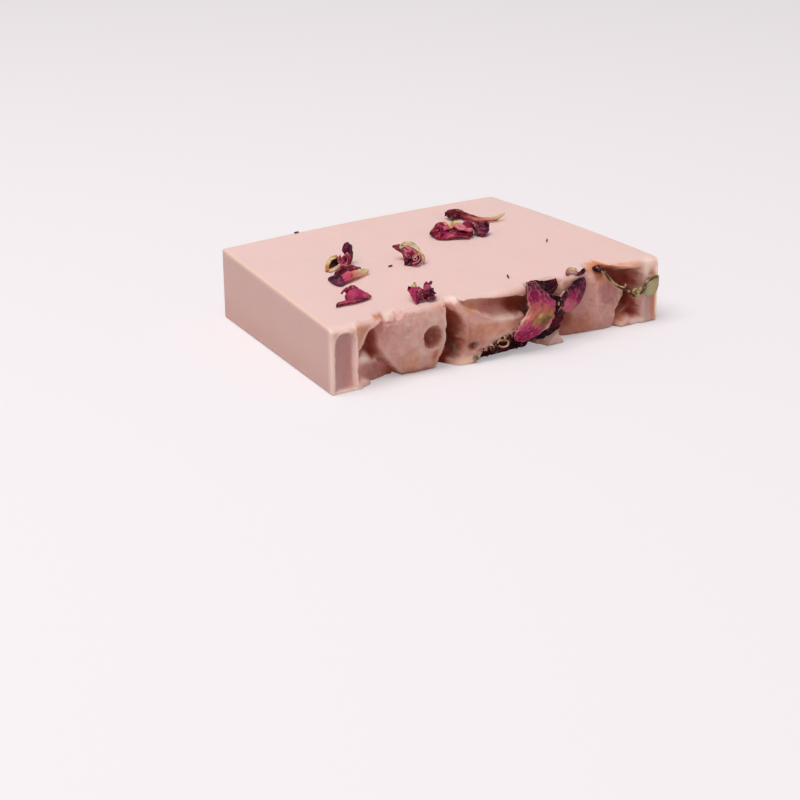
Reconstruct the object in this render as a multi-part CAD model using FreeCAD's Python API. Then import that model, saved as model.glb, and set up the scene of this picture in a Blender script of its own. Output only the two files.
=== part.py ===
"""A hand-cut bar of rose soap, sliced from a loaf that was poured into a mould.

One long face is the rough top of the loaf: thick batter pulled up into folds, with dried rose petals
pressed into it. The opposite long face lay on the floor of the mould, so the sides are drawn in towards
it. The two big faces were cut with a wire, not quite parallel. More petals lie loose on the upper one.

Frame, in millimetres: X along the bar, Y from the textured face (-Y) to the mould face (+Y), Z up.
The origin is on the underside, in the middle of the bar.
"""
import FreeCAD, Part
import math
import os

Vector = FreeCAD.Vector

# ---- Driving dimensions -----------------------------------------------------------------------------
TEXTURED_WIDTH = 90.0      # length of the bar at its textured face
BASE_WIDTH = 78.0          # length of the bar at the face that lay on the mould's floor
LOAF_HEIGHT = 60.0         # from the textured face to the mould face
FRONT_THICKNESS = 15.2     # between the two wire cuts, at the textured face
BACK_THICKNESS = 17.4      # between the two wire cuts, at the mould face
CUT_TILT = 0.37            # the upper cut is this much lower at the left end and higher at the right end

# ---- Relief of the textured face ---------------------------------------------------------------------
GAP_DEPTH = 5.6            # how deep the gaps between the folds of batter go
PROUDEST = -0.3            # a leaning fold comes no further out than this
CREST_ROUNDING = 0.6       # how softly one fold runs into the next
RELIEF_PITCH = 0.85        # spacing of the points that carry the relief

POCKET_LEFT = -44.0        # shallow groove beside the left corner
POCKET_RIGHT = -38.9
POCKET_BOTTOM = 0.5
POCKET_TOP = 13.8
POCKET_DEPTH = 1.0
POCKET_EDGE = 0.45         # width of its sloping edge

BUBBLE_CENTRE = (-18.7, 8.1)
BUBBLE_WIDTH = 5.2
BUBBLE_HEIGHT = 5.4
BUBBLE_DEPTH = 2.6

# ---- Petals ------------------------------------------------------------------------------------------
PETAL_THICKNESS = 0.3
PETAL_REST = 0.05          # clearance under a petal that lies on the upper cut
PRESSED_REST = 0.2         # clearance behind a petal that clings to the folds
PETAL_STEPS_ALONG = 7
PETAL_STEPS_ACROSS = 3
STRAND_WIDTH = 0.7

FRONT_Y = -LOAF_HEIGHT / 2
BACK_Y = LOAF_HEIGHT / 2
BEYOND = 3.0               # how far the outlines of the folds run past the edges of the face
SKY = FRONT_THICKNESS + BEYOND
GROUND = -BEYOND
PAST_LEFT = -TEXTURED_WIDTH / 2 - BEYOND
PAST_RIGHT = TEXTURED_WIDTH / 2 + BEYOND
RESTING = PETAL_REST + PETAL_THICKNESS / 2


# ---- The block ---------------------------------------------------------------------------------------
def half_width(y):
    """Half the bar's length at the distance y: the mould's draft draws the sides in towards +Y."""
    share = (y - FRONT_Y) / LOAF_HEIGHT
    return (TEXTURED_WIDTH + (BASE_WIDTH - TEXTURED_WIDTH) * share) / 2


def cut_height(x, y):
    """Height of the upper wire cut, a plane that rises towards the back and the right."""
    share = (y - FRONT_Y) / LOAF_HEIGHT
    rise = CUT_TILT * x / (TEXTURED_WIDTH / 2)
    return FRONT_THICKNESS + (BACK_THICKNESS - FRONT_THICKNESS) * share + rise


# ---- Relief: each fold of batter is an outline in X and Z, a depth inside it and walls around it ------
def outline_distance(outline, x, z):
    """Distance from a point to a closed outline, negative inside it."""
    nearest = None
    inside = False
    for (ax, az), (bx, bz) in zip(outline, outline[1:] + outline[:1]):
        length_squared = (bx - ax) ** 2 + (bz - az) ** 2
        share = ((x - ax) * (bx - ax) + (z - az) * (bz - az)) / length_squared
        share = min(1.0, max(0.0, share))
        distance = math.hypot(x - ax - share * (bx - ax), z - az - share * (bz - az))
        if nearest is None or distance < nearest:
            nearest = distance
        if (az > z) != (bz > z) and x < ax + (z - az) * (bx - ax) / (bz - az):
            inside = not inside
    return -nearest if inside else nearest


def soft_lower(a, b):
    """The smaller of two depths, rounded where they cross."""
    blend = max(CREST_ROUNDING - abs(a - b), 0.0) / CREST_ROUNDING
    return min(a, b) - blend * blend * CREST_ROUNDING / 4


def bulge(summit, depth, fall_left, fall_right, fall_down, fall_up):
    """Depth of a fold that is highest at its summit. Each fall is (how much deeper, at what distance)."""
    def depth_at(x, z):
        side, reach_side = fall_right if x > summit[0] else fall_left
        rise, reach_rise = fall_up if z > summit[1] else fall_down
        return (depth + side * ((x - summit[0]) / reach_side) ** 2
                + rise * ((z - summit[1]) / reach_rise) ** 2)
    return depth_at


def flat(depth):
    """Depth of a fold that is level all over."""
    return lambda x, z: depth


def slanted(depth, at_x, per_x):
    """Depth of a fold that leans along X: the depth at one place and how fast it grows."""
    return lambda x, z: max(PROUDEST, depth + per_x * (x - at_x))


def folds():
    """Every fold of the textured face as (outline, depth inside, steepness of its walls)."""
    left_post = [(PAST_LEFT, GROUND), (PAST_LEFT, SKY), (-38.6, SKY), (-38.3, 13.5), (-38.2, 6.0),
                 (-38.4, 2.5), (-37.4, 1.2), (-37.2, GROUND)]
    left_foot = [(-38.5, GROUND), (-38.5, 2.2), (-36.2, 1.6), (-34.4, 0.9), (-34.4, GROUND)]
    left_lip = [(-39.0, SKY), (-39.0, 14.0), (-36.0, 14.2), (-33.0, 14.6), (-31.0, 15.0), (-31.0, SKY)]
    mound = [(-38.0, GROUND), (-38.0, 5.8), (-36.2, 6.6), (-33.0, 5.0), (-29.5, 3.2), (-27.5, 1.0),
             (-26.5, GROUND)]
    great_cone = [(-33.5, SKY), (-32.9, 11.9), (-32.1, 8.1), (-30.2, 5.6), (-28.4, 3.0), (-25.6, 0.0),
                  (-25.6, GROUND), (-17.6, GROUND), (-17.1, 1.6), (-15.6, 5.9), (-14.9, 12.0),
                  (-13.9, 15.5), (-13.9, SKY)]
    second_peak = [(-13.4, SKY), (-13.1, 13.5), (-11.6, 12.4), (-10.3, 11.0), (-9.5, 9.5), (-9.4, 7.4),
                   (-10.4, 4.2), (-11.6, 0.5), (-12.0, GROUND), (-8.5, GROUND), (-7.5, 1.0), (-5.6, 2.6),
                   (-2.3, 4.2), (3.0, 5.2), (5.8, 5.6), (5.8, 7.7), (3.4, 7.9), (-0.6, 8.2), (-3.5, 9.2),
                   (-6.6, 11.2), (-9.7, 13.3), (-10.5, 15.4), (-10.5, SKY)]
    middle_lip = [(-10.8, SKY), (-10.5, 15.2), (-5.0, 14.8), (0.0, 14.2), (6.0, 13.6), (6.8, SKY)]
    petal_bed = [(7.0, GROUND), (7.0, SKY), (15.0, SKY), (17.5, 9.0), (17.5, GROUND)]
    bridge = [(16.6, SKY), (16.8, 12.6), (17.4, 10.2), (19.5, 11.4), (22.0, 13.3), (24.2, 14.8),
              (24.2, SKY)]
    tongue = [(12.5, GROUND), (12.6, 0.8), (14.9, 3.0), (16.6, 0.6), (17.0, GROUND)]
    right_slope = [(17.5, GROUND), (17.5, 9.0), (22.0, 12.0), (24.0, 15.0), (24.0, SKY), (29.6, SKY),
                   (29.8, 15.0), (30.8, 13.7), (32.5, 12.1), (34.0, 10.0), (36.8, 8.5), (36.7, 7.8),
                   (34.6, 4.3), (34.3, 1.3), (31.2, GROUND)]
    right_lip = [(30.6, SKY), (31.5, 15.2), (34.0, 14.6), (37.0, 14.2), (40.0, 13.6), (41.0, SKY)]
    right_post = [(40.3, GROUND), (40.0, 4.0), (40.6, 9.0), (40.2, 12.0), (39.5, 14.0), (39.5, SKY),
                  (PAST_RIGHT, SKY), (PAST_RIGHT, GROUND)]
    right_foot = [(38.0, GROUND), (38.2, 2.2), (39.0, 3.2), (40.5, 3.0), (40.5, GROUND)]
    return [
        (left_post, flat(0.0), 4.0),
        (left_foot, slanted(0.3, -37.4, 0.4), 2.5),
        (left_lip, flat(0.4), 1.3),
        (mound, slanted(3.4, -32.0, 0.17), 1.6),
        (great_cone, bulge((-20.0, 8.0), 0.0, (2.2, 13.0), (0.4, 4.5), (1.8, 8.0), (1.6, 7.5)), 4.0),
        (second_peak, bulge((-3.0, 4.0), -0.7, (0.3, 8.0), (0.2, 8.0), (0.1, 4.0), (2.7, 11.0)), 1.35),
        (middle_lip, flat(-0.3), 5.0),
        (petal_bed, flat(2.2), 1.2),
        (bridge, flat(0.3), 2.0),
        (tongue, flat(-0.6), 4.0),
        (right_slope, bulge((33.0, 5.0), 1.6, (1.6, 14.0), (0.1, 4.0), (0.4, 5.0), (2.6, 10.0)), 3.0),
        (right_lip, slanted(1.2, 31.5, -0.35), 3.0),
        (right_post, flat(0.0), 4.0),
        (right_foot, slanted(3.4, 38.2, -1.7), 3.0),
    ]


def hollows():
    """Places scooped out of the folds, as (outline, depth inside, steepness of the walls)."""
    fringe_hollow = [(-7.0, GROUND), (-5.2, 1.6), (-2.0, 3.2), (3.0, 4.3), (10.0, 4.6), (11.5, GROUND)]
    edge_chip = [(-32.4, FRONT_THICKNESS - 0.7), (-32.4, SKY), (-27.4, SKY), (-27.4, FRONT_THICKNESS - 0.6)]
    corner_chip = [(41.6, 13.3), (44.3, 13.0), (43.4, 11.2), (42.2, 11.6)]
    return [
        (fringe_hollow, 4.4, 4.0),
        (edge_chip, 3.4, 5.0),
        (corner_chip, 0.8, 2.0),
    ]


def pocket_depth(x, z):
    """The groove beside the left corner: straight sides, a round top, a sloping edge all round."""
    radius = (POCKET_RIGHT - POCKET_LEFT) / 2
    middle = (POCKET_RIGHT + POCKET_LEFT) / 2
    above = max(z - (POCKET_TOP - radius), 0.0)
    inward = min(radius - math.hypot(x - middle, above), z - POCKET_BOTTOM)
    return POCKET_DEPTH * min(1.0, max(0.0, inward / POCKET_EDGE))


def bubble_depth(x, z):
    """An air bubble that the batter's skin opened over, round inside."""
    across = (x - BUBBLE_CENTRE[0]) / (BUBBLE_WIDTH / 2)
    up = (z - BUBBLE_CENTRE[1]) / (BUBBLE_HEIGHT / 2)
    return BUBBLE_DEPTH * math.sqrt(max(0.0, 1.0 - across ** 2 - up ** 2))


FOLDS = folds()
HOLLOWS = hollows()


def relief_depth(x, z):
    """How far the textured face lies behind its flat plane at a place on it."""
    depth = GAP_DEPTH
    for outline, inside, steepness in FOLDS:
        away = max(0.0, outline_distance(outline, x, z))
        depth = soft_lower(depth, inside(x, z) + steepness * away)
    for outline, inside, steepness in HOLLOWS:
        away = max(0.0, outline_distance(outline, x, z))
        depth = max(depth, inside - steepness * away)
    return depth + pocket_depth(x, z) + bubble_depth(x, z)


# ---- Soap bar ----------------------------------------------------------------------------------------
def relief_grid():
    """Points over the textured face. Its outer rows and columns lie in the planes of the cuts and sides."""
    columns = round(TEXTURED_WIDTH / RELIEF_PITCH)
    rows = round(FRONT_THICKNESS / RELIEF_PITCH)
    grid = []
    for column in range(columns + 1):
        side = 2 * column / columns - 1
        line = []
        for row in range(rows + 1):
            level = row / rows
            y = FRONT_Y + relief_depth(side * half_width(FRONT_Y), level * FRONT_THICKNESS)
            x = side * half_width(y)
            line.append(Vector(x, y, level * cut_height(x, y)))
        grid.append(line)
    return grid


def facets(grid):
    """The textured face as flat triangles. Each cell is split along the diagonal that folds least."""
    triangles = []
    for left_line, right_line in zip(grid, grid[1:]):
        cells = zip(left_line, right_line, left_line[1:], right_line[1:])
        for lower_left, lower_right, upper_left, upper_right in cells:
            if abs(lower_left.y - upper_right.y) < abs(lower_right.y - upper_left.y):
                corners = [(lower_left, lower_right, upper_right), (lower_left, upper_right, upper_left)]
            else:
                corners = [(lower_left, lower_right, upper_left), (lower_right, upper_right, upper_left)]
            triangles += [plane_face(three) for three in corners]
    return triangles


def plane_face(corners):
    """A flat face through some corners."""
    return Part.Face(Part.makePolygon(list(corners) + [corners[0]]))


def soap_bar():
    """The slice of loaf: the textured face, two wire-cut faces, two drafted sides and the mould face."""
    grid = relief_grid()
    lower_edge = [line[0] for line in grid]
    upper_edge = [line[-1] for line in grid]
    left_edge, right_edge = grid[0], grid[-1]
    far_left = -half_width(BACK_Y)
    far_right = half_width(BACK_Y)
    lower_left = Vector(far_left, BACK_Y, 0)
    lower_right = Vector(far_right, BACK_Y, 0)
    upper_left = Vector(far_left, BACK_Y, cut_height(far_left, BACK_Y))
    upper_right = Vector(far_right, BACK_Y, cut_height(far_right, BACK_Y))
    flats = [
        lower_edge + [lower_right, lower_left],
        upper_edge + [upper_right, upper_left],
        left_edge + [upper_left, lower_left],
        right_edge + [upper_right, lower_right],
        [lower_left, lower_right, upper_right, upper_left],
    ]
    shell = Part.Shell(facets(grid) + [plane_face(corners) for corners in flats])
    shell.sewShape()
    return outward(Part.Solid(shell))


def outward(solid):
    """The same solid with its faces turned outwards."""
    if solid.Volume < 0:
        solid.reverse()
    return solid


# ---- Petals: a thin sheet between two margins, bowed across and ruffled along its edges ----------------
def on_top(points):
    """Places on the upper cut, from (x, y, height above the cut)."""
    return [Vector(x, y, cut_height(x, y) + height) for x, y, height in points]


def on_front(points):
    """Places before the textured face, from (x, z, distance in front of its flat plane)."""
    return [Vector(x, FRONT_Y - proud, z) for x, z, proud in points]


def over_relief(points):
    """Places that follow the folds, from (x, z, distance off the soap)."""
    return [Vector(x, FRONT_Y + relief_depth(x, z) - standoff, z) for x, z, standoff in points]


def smooth_point(points, share):
    """A point on the smooth curve through some points, from share 0 at the first to 1 at the last."""
    place = share * (len(points) - 1)
    span = min(int(place), len(points) - 2)
    t = place - span
    before = points[max(span - 1, 0)]
    start = points[span]
    end = points[span + 1]
    after = points[min(span + 2, len(points) - 1)]
    return (start * 2 + (end - before) * t + (before * 2 - start * 5 + end * 4 - after) * t ** 2
            + (start * 3 - before - end * 3 + after) * t ** 3) * 0.5


def sheet_normals(grid):
    """Unit normals of a grid of points."""
    along_last = len(grid) - 1
    across_last = len(grid[0]) - 1
    normals = []
    for i in range(along_last + 1):
        line = []
        for j in range(across_last + 1):
            along = grid[min(i + 1, along_last)][j] - grid[max(i - 1, 0)][j]
            across = grid[i][min(j + 1, across_last)] - grid[i][max(j - 1, 0)]
            normal = along.cross(across)
            line.append(normal.normalize())
        normals.append(line)
    return normals


def thin_solid(grid):
    """A closed solid of the petals' thickness about a grid of points."""
    normals = sheet_normals(grid)
    along_last = len(grid) - 1
    across_last = len(grid[0]) - 1
    half = PETAL_THICKNESS / 2
    points = []
    for offset in (half, -half):
        for i in range(along_last + 1):
            for j in range(across_last + 1):
                points.append(grid[i][j] + normals[i][j] * offset)
    layer = (along_last + 1) * (across_last + 1)

    def upper(i, j):
        return i * (across_last + 1) + j

    def lower(i, j):
        return layer + upper(i, j)

    triangles = []
    for i in range(along_last):
        for j in range(across_last):
            a, b, c, d = upper(i, j), upper(i + 1, j), upper(i + 1, j + 1), upper(i, j + 1)
            triangles += [(a, b, c), (a, c, d)]
            triangles += [(layer + a, layer + c, layer + b), (layer + a, layer + d, layer + c)]
    rim = [(i, 0) for i in range(along_last)]
    rim += [(along_last, j) for j in range(across_last)]
    rim += [(i, across_last) for i in range(along_last, 0, -1)]
    rim += [(0, j) for j in range(across_last, 0, -1)]
    for start, end in zip(rim, rim[1:] + rim[:1]):
        a, b, c, d = upper(*start), upper(*end), lower(*end), lower(*start)
        triangles += [(a, c, b), (a, d, c)]
    shape = Part.Shape()
    shape.makeShapeFromMesh((points, triangles), 0.001)
    return outward(Part.Solid(Part.Shell(shape.Faces)))


def petal(first_margin, second_margin, bow=0.0, ruffle=0.0, waves=2.0):
    """A dried petal between two margins. The bow lifts its middle and the ruffle waves its margins."""
    middle = []
    for i in range(PETAL_STEPS_ALONG + 1):
        share = i / PETAL_STEPS_ALONG
        start = smooth_point(first_margin, share)
        end = smooth_point(second_margin, share)
        middle.append([start + (end - start) * (j / PETAL_STEPS_ACROSS)
                       for j in range(PETAL_STEPS_ACROSS + 1)])
    normals = sheet_normals(middle)
    grid = []
    for i, line in enumerate(middle):
        share = i / PETAL_STEPS_ALONG
        taper = math.sin(math.pi * min(1.0, max(0.0, 0.12 + 0.76 * share)))
        row = []
        for j, point in enumerate(line):
            across = 2 * j / PETAL_STEPS_ACROSS - 1
            lift = bow * taper * (1 - across ** 2)
            wave = ruffle * across ** 2 * math.sin(2 * math.pi * (waves * share + 0.3 * across))
            row.append(point + normals[i][j] * (lift + wave))
        grid.append(row)
    return thin_solid(grid)


def settled(piece):
    """The same piece let down, or lifted, until it just rests on the upper cut."""
    lowest = min(corner.Z - cut_height(corner.X, corner.Y) for corner in piece.Vertexes)
    piece.translate(Vector(0, 0, PETAL_REST - lowest))
    return piece


def clinging(piece):
    """The same piece pushed back, or drawn out, until it just touches the folds."""
    nearest = min(FRONT_Y + relief_depth(corner.X, corner.Z) - corner.Y for corner in piece.Vertexes)
    piece.translate(Vector(0, nearest - PRESSED_REST, 0))
    return piece


# ---- Petals that lie loose on the upper cut -----------------------------------------------------------
def left_cluster():
    """The heap of petals near the left end: one stands up, the others lie against each other."""
    return {
        "upright_purple_petal": settled(petal(
            on_top([(-19.2, 5.9, 0.2), (-19.9, 6.9, 2.3), (-20.0, 6.5, 4.0), (-19.4, 5.5, 5.1)]),
            on_top([(-18.1, 5.1, 0.2), (-17.7, 4.4, 2.0), (-17.8, 4.3, 3.8), (-18.7, 4.9, 4.9)]),
            bow=0.5)),
        "small_pink_curl": settled(petal(
            on_top([(-23.0, 3.3, 2.3), (-22.3, 3.3, 0.9), (-21.0, 3.1, RESTING), (-20.3, 2.9, 0.9),
                    (-20.2, 2.9, 2.1)]),
            on_top([(-22.2, 5.2, 2.5), (-21.7, 5.2, 1.1), (-20.6, 5.0, 0.5), (-19.8, 4.1, 1.1),
                    (-19.7, 3.9, 2.3)]),
            bow=-0.2)),
        "tan_arched_petal": settled(petal(
            on_top([(-26.6, 1.9, 0.2), (-27.1, 1.3, 1.7), (-26.0, 1.2, 2.9), (-24.6, 1.5, 3.1),
                    (-23.7, 1.8, 1.9)]),
            on_top([(-25.2, 4.6, 0.2), (-25.5, 4.7, 1.5), (-24.8, 4.9, 2.6), (-23.9, 4.9, 2.8),
                    (-23.2, 4.6, 1.8)]),
            bow=0.3)),
        "long_dark_petal": settled(petal(
            on_top([(-29.9, -4.6, 0.9), (-27.4, -3.5, 0.8), (-24.9, -2.8, 0.8), (-22.6, -2.5, 1.1),
                    (-20.5, -2.9, 1.6)]),
            on_top([(-29.4, -3.5, 1.9), (-27.0, -2.0, 2.1), (-24.6, -0.7, 2.4), (-22.4, -0.8, 2.4),
                    (-20.7, -2.2, 2.4)]),
            bow=0.5, ruffle=0.15)),
        "pink_cream_petal": settled(petal(
            on_top([(-29.9, -6.0, 0.3), (-28.7, -7.6, 0.25), (-26.9, -7.9, RESTING), (-24.8, -7.4, 0.3),
                    (-22.2, -6.0, 0.25), (-19.8, -4.7, 0.25)]),
            on_top([(-30.2, -5.3, 0.7), (-28.4, -5.9, 1.1), (-26.6, -5.6, 1.7), (-24.0, -5.1, 1.8),
                    (-21.6, -4.4, 1.4), (-19.7, -4.1, 0.8)]),
            bow=0.35, ruffle=0.1)),
        "fan_petal": settled(petal(
            on_top([(-36.5, -18.3, 0.2), (-34.4, -18.2, 0.2), (-32.5, -18.0, 0.2), (-30.0, -17.9, 0.2),
                    (-27.4, -17.8, 0.3)]),
            on_top([(-36.3, -17.8, 0.9), (-34.2, -17.4, 1.0), (-32.7, -16.6, 2.9), (-29.8, -16.7, 2.7),
                    (-27.2, -17.4, 0.9)]),
            bow=0.3, ruffle=0.1)),
    }


def middle_petals():
    """The rolled petal with its pale sepal, and the crumpled petals near the textured face."""
    return {
        "rolled_petal": settled(petal(
            on_top([(-8.7, 2.4, 2.6), (-8.2, 0.2, 1.7), (-8.4, -2.4, 0.9), (-8.9, -4.6, RESTING)]),
            on_top([(-8.3, 2.8, 2.8), (-6.4, 0.6, 2.9), (-5.6, -1.8, 2.6), (-5.5, -4.7, 0.9)]),
            bow=0.6, ruffle=0.2)),
        "pale_sepal": settled(petal(
            on_top([(-7.3, 2.1, 3.7), (-5.4, 1.1, 3.7), (-4.6, -1.4, 3.2), (-4.4, -3.8, 1.7),
                    (-5.0, -5.6, 0.25)]),
            on_top([(-6.9, 2.9, 3.6), (-4.6, 2.5, 3.7), (-3.4, -0.4, 3.2), (-3.6, -4.0, 1.6),
                    (-4.2, -5.4, 0.25)]),
            bow=0.2)),
        "magenta_crumpled_petal": settled(petal(
            on_top([(-20.8, -26.1, RESTING), (-21.0, -25.0, 1.4), (-21.4, -23.8, 2.4), (-21.3, -23.3, 3.0)]),
            on_top([(-19.8, -26.0, 0.2), (-19.2, -24.9, 1.2), (-18.7, -23.8, 2.1), (-18.2, -23.4, 2.7)]),
            bow=0.4, ruffle=0.25)),
        "brown_crinkled_petal": settled(petal(
            on_top([(-18.7, -25.9, 0.25), (-18.1, -24.8, 1.3), (-17.2, -23.4, 2.4), (-16.3, -22.2, 3.1)]),
            on_top([(-17.2, -26.7, 0.25), (-16.0, -26.3, 1.0), (-15.2, -24.7, 1.7), (-15.0, -22.6, 2.6)]),
            bow=0.4, ruffle=0.3)),
        "cream_scrap_petal": settled(petal(
            on_top([(-19.8, -21.7, RESTING), (-19.7, -21.9, 1.8), (-19.0, -22.1, 3.3)]),
            on_top([(-18.3, -21.5, 0.2), (-18.0, -21.8, 1.8), (-18.4, -22.0, 3.4)]))),
    }


def right_cluster():
    """The heap behind the middle: a long tapered petal and a crumpled one with others folded over it."""
    return {
        "long_tapered_petal": settled(petal(
            on_top([(18.1, 19.0, 0.9), (19.5, 17.8, 0.5), (21.2, 14.2, 0.3), (23.7, 12.7, 0.3),
                    (27.6, 12.2, 0.3), (30.3, 12.0, 1.7)]),
            on_top([(17.9, 20.1, 1.9), (20.2, 19.5, 2.9), (22.4, 16.0, 2.2), (24.6, 14.1, 1.5),
                    (27.9, 13.2, 0.9), (30.6, 12.4, 2.1)]),
            bow=0.4, ruffle=0.15)),
        "maroon_crumpled_petal": settled(petal(
            on_top([(7.4, 10.6, 0.3), (7.8, 7.8, 0.25), (10.2, 6.0, 0.25), (13.0, 5.0, 0.25),
                    (15.6, 4.9, 0.3)]),
            on_top([(7.7, 11.2, 0.8), (10.2, 11.4, 2.9), (11.8, 9.0, 2.4), (13.8, 7.2, 1.9),
                    (16.0, 6.0, 1.4)]),
            bow=0.5, ruffle=0.2)),
        "pink_overlapping_petal": petal(
            on_top([(11.6, 6.2, 3.0), (12.7, 4.6, 2.5), (14.4, 4.3, 2.1), (16.1, 4.6, 1.9)]),
            on_top([(12.0, 9.8, 3.6), (14.0, 10.4, 3.2), (16.0, 9.8, 2.9), (17.2, 8.6, 2.5)]),
            bow=0.3, ruffle=0.2),
        "dark_crumpled_petal": settled(petal(
            on_top([(18.3, 3.7, 0.25), (19.9, 3.4, 1.1), (20.2, 4.2, 2.2), (19.2, 5.0, 3.0)]),
            on_top([(17.6, 6.4, 0.25), (17.8, 7.4, 1.3), (18.6, 7.6, 2.3), (18.7, 6.8, 3.0)]),
            bow=0.5, ruffle=0.3)),
    }


def petal_crumbs():
    """Four tiny flakes that lie scattered on the upper cut."""
    places = [((-12.8, -2.4), (-11.5, -2.0)), ((6.3, -23.3), (7.1, -21.6)), ((28.8, -7.4), (29.9, -6.2)),
              ((-18.6, 29.0), (-17.4, 29.3))]
    flake_width = 0.7
    flakes = []
    for (start_x, start_y), (end_x, end_y) in places:
        length = math.hypot(end_x - start_x, end_y - start_y)
        across_x = -(end_y - start_y) / length * flake_width / 2
        across_y = (end_x - start_x) / length * flake_width / 2
        ends = [(start_x, start_y), (end_x, end_y)]
        flakes.append(settled(petal(
            on_top([(x - across_x, y - across_y, RESTING) for x, y in ends]),
            on_top([(x + across_x, y + across_y, RESTING) for x, y in ends]))))
    return Part.makeCompound(flakes)


# ---- Petals pressed into the textured face ------------------------------------------------------------
def centre_petals():
    """The large pink petal, and the dark one behind it that laps over onto the upper cut."""
    return {
        "dark_petal_behind": petal(
            on_top([(8.9, -27.0, 0.5)]) + on_front([(6.9, 15.7, 0.9), (6.6, 12.0, 0.9), (6.4, 8.0, 0.5),
                                                    (6.2, 5.0, 0.3), (6.0, 2.4, 0.3)]),
            on_top([(15.0, -28.4, 0.5)]) + on_front([(15.2, 15.5, 1.1), (15.2, 13.0, 1.2), (16.4, 9.6, 0.9),
                                                     (16.6, 6.5, 0.6), (14.8, 4.0, 0.5)]),
            bow=0.2, ruffle=0.1),
        "large_pink_petal": petal(
            on_front([(7.3, 17.0, -0.2), (5.4, 14.4, 2.0), (5.1, 11.6, 2.1), (4.4, 8.8, 2.0),
                      (2.6, 6.4, 1.8), (1.7, 4.2, 1.5)]),
            on_front([(9.3, 17.2, -0.2), (11.0, 14.4, 2.4), (13.2, 11.7, 2.3), (13.0, 8.4, 2.1),
                      (10.4, 5.4, 2.0), (5.4, 3.6, 1.6)]),
            bow=0.6, ruffle=0.25),
    }


def right_petals():
    """What lies on the right part of the textured face, from the petal under the bridge to the leaf."""
    return {
        "narrow_petal": clinging(petal(
            on_front([(17.0, 8.3, 0.6), (19.0, 7.3, 0.6), (21.4, 8.4, 0.4), (22.9, 11.4, 0.2),
                      (23.0, 13.6, 0.2)]),
            on_front([(16.5, 10.8, 0.6), (17.8, 12.3, 0.8), (19.3, 13.5, 0.7), (20.9, 14.2, 0.6),
                      (22.4, 14.6, 0.4)]),
            bow=0.3, ruffle=0.1)),
        "dark_scrap_petal": clinging(petal(
            over_relief([(18.2, 2.8, 0.6), (20.0, 2.2, 0.6), (21.8, 3.2, 0.6)]),
            over_relief([(18.4, 6.6, 0.7), (20.4, 5.8, 0.7), (22.4, 5.4, 0.6)]),
            bow=0.2, ruffle=0.1)),
        "tan_curled_petal": settled(petal(
            on_top([(19.3, -29.2, RESTING), (20.1, -29.3, 0.8), (21.2, -29.1, 0.9), (22.3, -28.7, 0.5)]),
            on_top([(18.9, -28.2, 0.25), (19.6, -27.5, 1.0), (20.8, -27.1, 1.2), (22.0, -27.3, 0.8)]),
            bow=0.2)),
        "dark_stem_scrap": settled(petal(
            on_top([(22.8, -29.2, RESTING), (23.6, -28.8, 0.3), (24.2, -28.3, RESTING)]),
            on_top([(22.7, -28.2, 0.25), (23.4, -27.8, 0.5), (24.2, -27.5, RESTING)]))),
        "glossy_dark_scrap": clinging(petal(
            over_relief([(28.6, 14.3, 0.35), (29.4, 14.1, 0.35), (30.2, 13.9, 0.35)]),
            over_relief([(28.5, 15.0, 0.35), (29.3, 15.0, 0.35), (30.0, 14.8, 0.35)]),
            bow=0.2)),
        "green_strand": clinging(strand()),
        "pale_leaf": clinging(petal(
            on_front([(40.8, 7.2, 0.25), (42.2, 6.7, 0.25), (43.8, 6.8, 0.25), (44.9, 7.6, 0.25)]),
            on_front([(41.2, 8.6, 0.25), (42.4, 10.0, 0.25), (43.6, 10.5, 0.25), (44.8, 10.3, 0.25)]))),
        "lower_fringe_petal": clinging(petal(
            on_front([(-5.6, 0.3, -1.4), (-2.0, 0.3, -1.6), (3.0, 0.3, -1.6), (8.0, 0.4, -1.2)]),
            on_front([(-5.2, 1.4, -1.8), (-2.0, 2.6, -2.2), (3.0, 3.2, -2.2), (7.6, 3.2, -1.6)]),
            bow=0.2, ruffle=0.2)),
    }


def strand():
    """A dry green strand that hangs in a slack line from the notch in the edge to the right corner."""
    half = STRAND_WIDTH / 2
    line = [(30.6, 13.8, -3.2), (31.9, 12.5, -2.4), (33.6, 10.4, -1.4), (36.0, 9.0, -0.6),
            (38.4, 7.6, 0.3), (39.9, 7.7, 0.9), (41.1, 9.6, 0.9), (42.2, 10.9, 0.9), (44.8, 11.2, 0.8)]
    return petal(
        on_front([(x, z - half, proud) for x, z, proud in line]),
        on_front([(x, z + half, proud) for x, z, proud in line]))


def build():
    """Every piece by name."""
    pieces = {"soap_bar": soap_bar(), "petal_crumbs": petal_crumbs()}
    for group in (left_cluster(), middle_petals(), right_cluster(), centre_petals(), right_petals()):
        pieces.update(group)
    return pieces


os.makedirs("parts", exist_ok=True)
for name, piece in build().items():
    piece.exportStep(os.path.join("parts", name + ".step"))
    print(f"{name}: {len(piece.Faces)} faces, {piece.Volume:.1f} mm3, sound {piece.isValid()}")
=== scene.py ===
# %% [markdown]
# # A hand-cut bar of rose soap
# The bar is one slice of a soap loaf. The CAD frame holds the slice and each dried petal as a plain solid.
# Here every one of them is modelled again, finer, in the same place: the batter's folds get their soft
# crests, the petals get their crinkles, and all of them get the finish that they have in the hand.

import math

import bmesh
import bpy
import numpy as np
from mathutils import Matrix, Vector


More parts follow.
